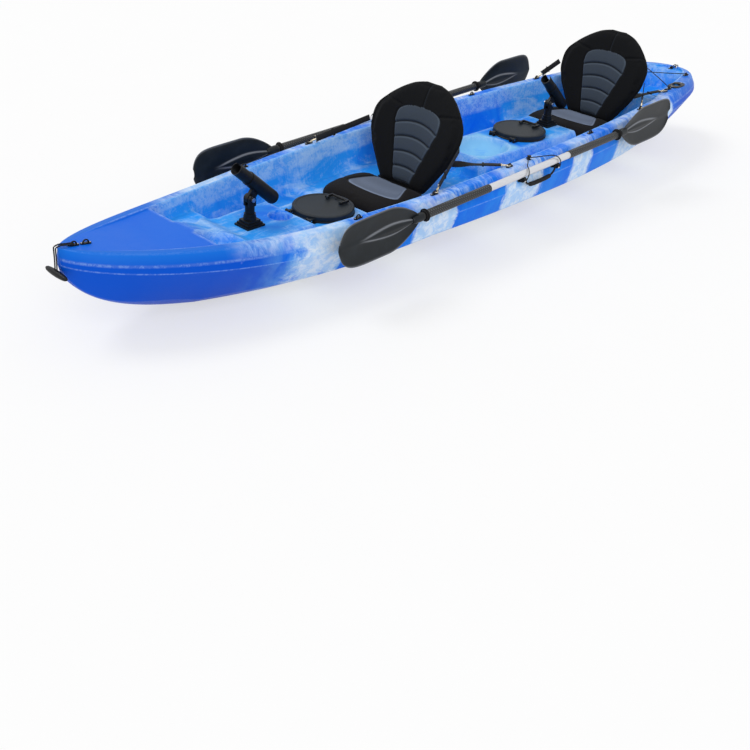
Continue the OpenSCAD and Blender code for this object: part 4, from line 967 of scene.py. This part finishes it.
def sew_back(mesh):
    """Channels, panel edge, border seam and shoulder creases of the backrest."""
    co = spots_of(mesh) / MM
    normal = np.array([v.normal for v in mesh.vertices])
    y, v = co[:, 1], (co[:, 2] + HINGE_H) / BACK_H
    front = smooth_all((normal[:, 0] - 0.15) / 0.4)
    inside = np.minimum(panel_half(v) - np.abs(y), (v - PANEL_LOW) * BACK_H)
    panel = smooth_all(inside / 5 + 0.5)
    bow = 0.28 * (y / BACK_W) ** 2
    phase = CHANNELS * (v + bow - PANEL_LOW) / (PANEL_TOP - PANEL_LOW)
    off = (phase - np.round(phase)) * (PANEL_TOP - PANEL_LOW) * BACK_H / CHANNELS
    inner = panel * (np.round(phase) < CHANNELS)
    channel = ridge(off, 4) * inner
    ribs = 3.0 * np.abs(np.sin(np.pi * phase)) ** 0.6
    ditch = ridge(inside, 5)
    half = back_half(np.clip(v, 0, 1))
    border = ridge(half - np.abs(y) - 24, 4) * (v > 0.05) * (v < 0.93)
    top_border = ridge((v - 0.945) * BACK_H, 4) * (np.abs(y) < half - 24)
    crease_v = 0.715 + 0.05 * (np.abs(y) - 90) / 110
    crease = ridge((v - crease_v) * BACK_H, 6) * smooth_all((np.abs(y) - 88) / 14)
    lift = panel * (1.0 + ribs) - 6.0 * channel - 4.0 * ditch - 1.6 * border - 1.6 * top_border - 5.0 * crease
    co[:, 0] += front * lift
    move_to(mesh, co * MM)
    # The lip line is the piping's own colour along the panel edge and a painted highlight beside each channel;
    # the groove line is painted shade in the channels and round the panel.
    lip = ridge(off + 6.5, 2.4) * inner + ridge(inside - 4, 2.6)
    groove = ridge(off, 2.6) * inner + ridge(inside + 3, 3)
    mark(mesh, panel=panel * front, piping=np.clip(lip, 0, 1) * front, groove=np.clip(groove, 0, 1) * front)
    return mesh


def make_backs():
    heights = [i / 30 for i in range(28)] + [0.925, 0.945, 0.96, 0.972, 0.982, 0.991, 1]

    def both(u, v):
        y = u * (float(back_half(v)) - 3)
        puff = math.sqrt((1 - u ** 4) * (1 - (2 * v - 1) ** 8))
        h = 3 + v * (BACK_H - 6) - HINGE_H
        return ((back_sag(y) + 3 + 0.62 * (BACK_T - 6) * puff, y, h),
                (back_sag(y) - 3 - 0.38 * (BACK_T - 6) * puff, y, h))

    local = sew_back(plumped(cushion_mesh("back_cover", ACROSS, heights, both)))
    for name, _, _, pivot in SEATS:
        mesh = local.copy()
        mesh.transform(Matrix.Translation(pivot * MM) @ LEAN)
        back = add_piece(name + "_back_cushion", mesh, seat_finish, name + "_backrest", 80.0)
        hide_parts(name + "_seat_back")


def pad_half(v):
    return PAD_W / 2 * (0.9 + 0.1 * np.sin(np.pi * v) - 0.16 * np.maximum(0, 2 * v - 1) ** 4)


def sew_pad(mesh):
    """Sunk panel and border seam of the seat pad."""
    co = spots_of(mesh) / MM
    normal = np.array([v.normal for v in mesh.vertices])
    y, v = co[:, 1], np.clip(co[:, 0] / (PAD_L - 3), 0, 1)
    top = smooth_all((normal[:, 2] - 0.2) / 0.4)
    reach = mix(66, 138, np.clip(v / 0.5, 0, 1))
    beside, ahead = (reach - np.abs(y)) / 18, (0.62 - 0.05 * (y / 138) ** 2 - v) * PAD_L / 18
    inside = -18 * np.log(np.exp(np.clip(-beside, -9, 9)) + np.exp(np.clip(-ahead, -9, 9)))
    panel = smooth_all(inside / 5 + 0.5)
    ditch = ridge(inside, 6)
    border = ridge(pad_half(v) - np.abs(y) - 22, 4) * (v > 0.06) * (v < 0.94)
    co[:, 2] += top * (-3.0 * panel - 4.0 * ditch - 1.5 * border)
    move_to(mesh, co * MM)
    # Masks of the pad: painted shade in the ditch round its panel, and its lighter piping.
    mark(mesh, panel=panel * top, piping=ridge(inside - 4, 2.6) * top, groove=ridge(inside + 3, 3) * top)
    return mesh


def make_pads():
    lengths = [(1 - math.cos(math.pi * i / 20)) / 2 for i in range(21)]

    def both(u, v):
        x, y = 2 + (PAD_L - 8) * v, u * (float(pad_half(v)) - 3)
        puff = ((1 - abs(u) ** 5) * (1 - (2 * v - 1) ** 6)) ** 0.45
        return (x, y, 2.5), (x, y, 8 + (PAD_T - 11) * puff * (1 - 0.2 * v))

    local = sew_pad(plumped(cushion_mesh("pad_cover", ACROSS, lengths, both)))
    co = spots_of(local)
    co[:, 2] = np.maximum(co[:, 2], PAD_LIFT)
    move_to(local, co)
    for name, x, z, _ in SEATS:
        mesh = local.copy()
        mesh.transform(Matrix.Translation(Vector((x - PAD_L, 0, z)) * MM))
        pad = add_piece(name + "_seat_cushion", mesh, pad_finish, "hull", 80.0)
        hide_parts(name + "_seat_pad")


def sew_folds():
    """Cloth fold that joins each pad to its back."""
    half_w, thick, dip, inset, cuts = 116.0, 2.4, 7.0, 12.0, 10
    steps = [i / cuts for i in range(cuts + 1)]
    for name, x, z, pivot in SEATS:
        start, stop = Vector((x - PAD_L + inset, 0, z + PAD_T / 2)), on_back(pivot, back_sag(0) + 3, 0, 18)

        def both(u, v):
            y = half_w * u
            first, last = start + Vector((0, y, 0)), on_back(pivot, back_sag(y) + 3, y, 18)
            point = first.lerp(last, v) - Vector((0, 0, dip * math.sin(math.pi * v)))
            return point, point - Vector((0, 0, thick))

        mesh = cushion_mesh("seat_fold", [2 * t - 1 for t in steps], steps, both)
        fold = add_piece(name + "_seat_fold", mesh, seat_finish, None, 80.0)
        name + "_backrest"
        start * MM
        stop * MM
        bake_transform(fold)


make_backs()
make_pads()
sew_folds()

# Seat straps
FRONT_EYE_X = (FRONT_PAD_X - 112, FRONT_PAD_X - 552)
REAR_EYE_X = (REAR_PAD_X - 262, REAR_PAD_X - 602)
HOOK_R, HOOK_END = 8.0, 8 + 16 + 4.4
FORE_STRAP_H, AFT_STRAP_H, AFT_STRAP_Y = 225, 150.0, 150


def side_of(d):
    return d.cross(Vector((0, 0, 1)) if abs(d.z) < 0.8 else Vector((0, 1, 0))).normalized()


def strap_end(pivot, side, fore):
    if fore:
        y = float(back_half(FORE_STRAP_H / BACK_H))
        return on_back(pivot, back_sag(y), side * (y + 3), FORE_STRAP_H)
    return on_back(pivot, back_sag(AFT_STRAP_Y) - BACK_T / 2 - 7, side * AFT_STRAP_Y, AFT_STRAP_H)


def sew_straps():
    for (name, _, _, pivot), eyes in zip(SEATS, (FRONT_EYE_X, REAR_EYE_X)):
        for side, hand in SIDES:
            for k, end in enumerate(("fore", "aft")):
                start = rim_eye(eyes[k], side) + Vector((HOOK_R if k else -HOOK_R, 0, SEAT_GAP + 7.9))
                stop = strap_end(pivot, side, k == 0)
                d = (stop - start).normalized()
                first = start + d * (HOOK_END + SEAT_GAP)
                length = (stop - start).length - HOOK_END - SEAT_GAP - 2
                across, up = side_of(d), side_of(d).cross(d)
                strap = Stock()

                def band(low, high, lift, half_w, half_t, cuts):
                    rings = []
                    for i in range(cuts + 1):
                        s = mix(low, high, i / cuts)
                        a = math.pi / 2 * (1 if k == 0 else smooth((s - 0.45) / 0.5))
                        w = across * math.cos(a) + up * math.sin(a)
                        t = up * math.cos(a) - across * math.sin(a)
                        p = first + d * (length * s) + t * lift
                        soft = min(half_t, 0.7)
                        m, n = half_w - soft, half_t - soft
                        edge = [(half_w, n), (m, half_t), (-m, half_t), (-half_w, n)]
                        rings.append([p + w * b + t * c for b, c in edge + [(-b, -c) for b, c in edge]])
                    strap.loft(rings)

                band(0, 1, 0, STRAP_W / 2, STRAP_T / 2, 24)
                band(0.01, 0.34, 2.4, STRAP_W / 2 - 0.6, STRAP_T / 2, 12)
                band(0.30, 0.335, 0.8, STRAP_W / 2 + 3.5, 3.4, 3)
                piece = add_piece(f"{name}_{hand}_{end}_strap", strap.mesh("strap"), webbing_finish, None, 50.0)
                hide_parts(name + "_seat_straps")
                name + "_backrest"
                first * MM
                stop * MM
                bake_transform(piece)


sew_straps()

# Paddles
PADDLE_X = {1: 10.0, -1: -31.0}
BLADE_S = RING_S + 42
BLADE_L = PADDLE_HALF_L - BLADE_S


def blade_edge(v, full, corner):
    if v < full:
        return mix(0.2, 1, math.sin(math.pi / 2 * v / full) ** 0.9)
    return math.sqrt(1 - ((v - full) / (1.005 - full)) ** corner)


def blade_z(u, v):
    edge = 0.98 * blade_edge(v, 0.42, 8) if u > 0 else blade_edge(v, 0.38, 6)
    return BLADE_W / 2 * u * edge


def leaf_half(v):
    """Half width of the raised leaf along the blade's middle."""
    return 0.04 + 0.2 * math.sin(math.pi * min(1.0, v / 0.8 + 0.12)) if v < 0.7 else 0.04


def blade_rib(u, v):
    leaf = smooth((leaf_half(v) - abs(u)) / 0.05 + 0.5) * smooth((0.8 - v) / 0.3)
    return 9 * max(0.0, 1 - v) ** 0.7 * (0.4 * math.exp(-(u / 0.12) ** 2) + 0.6 * leaf)


def blade_highlight(u, v):
    """Painted highlight: light lines along the leaf's outline and the blade's own edge."""
    leaf = math.exp(-((abs(u) - leaf_half(v)) / 0.035) ** 2) * smooth((0.78 - v) / 0.2)
    return min(1.0, leaf + 0.7 * smooth((abs(u) - 0.93) / 0.05) * smooth((v - 0.05) / 0.1))


def make_blades():
    us = [math.copysign(abs(2 * j / 48 - 1) ** 1.15, 2 * j / 48 - 1) for j in range(49)]
    vs = [1 - (1 - i / 60) ** 1.5 for i in range(61)]
    # Shares of the blade's painted highlight over its grid.
    highlight_shares = [blade_highlight(u, v) for v in vs for u in us]

    def both(u, v):
        x, z, dish, rib = BLADE_S + BLADE_L * v, blade_z(u, v), 7 * u * u, blade_rib(u, v)
        thin = 0.35 + 0.65 * min(1.0, (1 - abs(u)) * 8) * min(1.0, (1 - v) * 30 + 0.3)
        return (x, dish - 0.75 + 2.25 * thin + rib, z), (x, dish - 0.75 - 2.25 * thin - rib, z)

    neck = Stock()
    neck.turned([(14.1, 0), (16.5, 0), (16.5, 38), (15.5, 46), (12, 52), (1, 54), (1, 24), (14.1, 22)],
                (RING_S + 20, 0, 0), (1, 0, 0), 40)
    for side, hand in SIDES:
        place = Matrix.Translation(Vector((PADDLE_X[side], side * SHAFT_Y, shaft_height(PADDLE_X[side]))) * MM)
        place = place @ Matrix.Rotation(PITCH, 4, "Y")
        for way, end in ((1, "fore"), (-1, "aft")):
            mesh = cushion_mesh("blade", us, vs, both)
            form = bmesh.new()
            form.from_mesh(mesh)
            # Mask of the blade's painted highlight.
            rubbed = form.verts.layers.float.new("rubbed")
            for vert, value in zip(form.verts, highlight_shares + highlight_shares):
                vert[rubbed] = value
            form.from_mesh(neck.mesh("neck"))
            form.transform(place @ Matrix.Diagonal((way, side, 1, 1)))
            bmesh.ops.recalc_face_normals(form, faces=form.faces)
            form.to_mesh(mesh)
            form.free()
            blade = add_piece(f"{hand}_{end}_paddle_blade", mesh, blade_finish, hand + "_paddle", 45.0)
            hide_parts(f"{hand}_{end}_blade")


make_blades()


# Carry handles
def make_handles():
    half = HANDLE_SPAN / 2 / math.cos(PITCH)
    run = half - 14
    path = [(-half - 11, 0, 0), (-half, 0, 0), (-half + 12, 0, 0)]
    path += [(t * run, 0, -34 * math.sqrt(1 - t ** 4)) for t in (2 * i / 40 - 1 for i in range(1, 40))]
    path += [(half - 12, 0, 0), (half, 0, 0), (half + 11, 0, 0)]
    line = spline(path, 3)
    rings = []
    for i, p in enumerate(line):
        d = (line[min(i + 1, len(line) - 1)] - line[max(i - 1, 0)]).normalized()
        share = abs(p.x) / half
        rib = 0.45 * math.cos(p.x * 0.9) if share < 0.5 else 0.0
        r = 3.95 + (GRIP_R - 4.2 + rib) * smooth((0.66 - share) / 0.1)
        across = Vector((0, 1, 0))
        up = across.cross(d)
        rings.append([p + r * (math.cos(a) * across + math.sin(a) * up) for a in
                      (2 * math.pi * k / 18 for k in range(18))])
    for side, hand in SIDES:
        stock = Stock()
        stock.loft(rings)
        mesh = stock.mesh("handle")
        mesh.transform(Matrix.Translation(Vector((HANDLE_X, side * HANDLE_AXIS_Y, HANDLE_Z)) * MM)
                       @ Matrix.Rotation(PITCH, 4, "Y"))
        handle = add_piece(hand + "_grip", mesh, rubber_finish, hand + "_carry_handle", 60.0)
        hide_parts(hand + "_handle")


make_handles()


# Screw heads
def tilted(slope):
    """Directions along and out of a surface with this slope."""
    return Vector((math.cos(slope), 0, -math.sin(slope))), Vector((math.sin(slope), 0, math.cos(slope)))


def make_screws():
    heads = Stock()

    def head(spot, axis, r):
        heads.turned([(r * 0.3, -0.6), (r, -0.6), (r, 0.25 * r), (0.86 * r, 0.5 * r), (0.55 * r, 0.62 * r),
                      (0.5 * r, 0.62 * r), (0.42 * r, 0.25 * r), (0.1 * r, 0.25 * r)], spot, axis, 16)

    eye_x = FRONT_EYE_X + REAR_EYE_X + TANK_EYE_X + (FRONT_HATCH_X + 130, BOWL_X - 330)
    eyes = [rim_eye(x, side) for side in (-1, 1) for x in eye_x]
    eyes += [Vector((x, 0, sheer(x))) for x in (BOW_EYE_X, BOW_EYE_X - 42)]
    eyes.append(Vector((STERN_EYE_X, 0, deck_z(STERN_EYE_X, 0))))
    for p in eyes:
        slope = STERN_EYE_SLOPE if p.x == STERN_EYE_X else sheer_slope(p.x)
        ahead, up = tilted(slope)
        for s in (-1, 1):
            head(p + ahead * (15.2 * s) + up * (SEAT_GAP + 4), up, 2.6)
    for side in (-1, 1):
        for x in SADDLE_X:
            out = Vector((0, side * math.cos(0.6), -math.sin(0.6)))
            head(Vector((x, side * HANDLE_AXIS_Y, saddle_z(x))) + out * (SADDLE_R - 0.2), out, 4.6)
        spot, _ = flush_place(side)
        ahead, up = tilted(sheer_slope(FLUSH_X))
        for s in (-1, 1):
            head(Vector(spot) + ahead * (46 * s) + up * (SEAT_GAP + 5), up, 3.2)
    piece = add_piece("screw_heads", heads.mesh("screws"), steel_finish, "hull", 35.0)


make_screws()


# Floor and light
FLOOR_REACH = 30.0


def light_studio():
    f = Finish("pale_floor", {"Roughness": 0.9, "Specular IOR Level": 0.1})
    bed = f.noise(f.place(), 3.0, 3.0, 0.5)
    f.feed("Base Color", f.blend(bed, (0.9, 0.9, 0.9, 1), (0.92, 0.92, 0.92, 1)))
    mesh = bpy.data.meshes.new("floor")
    r = FLOOR_REACH
    mesh.from_pydata([(-r, -r, 0), (r, -r, 0), (r, r, 0), (-r, r, 0)], [], [(0, 1, 2, 3)])
    mesh.materials.append(f.material)
    white = f.node("ShaderNodeEmission", {}, {"Color": (1, 1, 1, 1), "Strength": 1.0})
    shown = f.node("ShaderNodeMixShader", {}, {0: f.seen() * 0.6, 1: Val(f, f.shader.outputs[0]), 2: white})
    f.put(f.tree.nodes["Material Output"].inputs["Surface"], shown)
    placed("floor", mesh)
    world = bpy.data.worlds.new("studio")
    scene.world = world
    world.use_nodes = True
    sky = Backdrop(world)
    glow, white = (sky.node("ShaderNodeBackground", {}, {0: (1, 1, 1, 1), 1: level}) for level in (0.62, 1.0))
    shown = sky.node("ShaderNodeMixShader", {}, {0: sky.seen(), 1: glow, 2: white})
    sky.put(sky.tree.nodes["World Output"].inputs["Surface"], shown)
    for name, turn, power, angle in (("key", (0.5, 0.35, 0.0), 0.95, 25), ("fill", (0.95, 0.0, 2.6), 1.0, 40)):
        lamp = bpy.data.lights.new(name, "SUN")
        lamp.energy = power
        lamp.angle = math.radians(angle)
        placed(name, lamp).rotation_euler = turn


light_studio()
scene.view_settings.view_transform = "Standard"
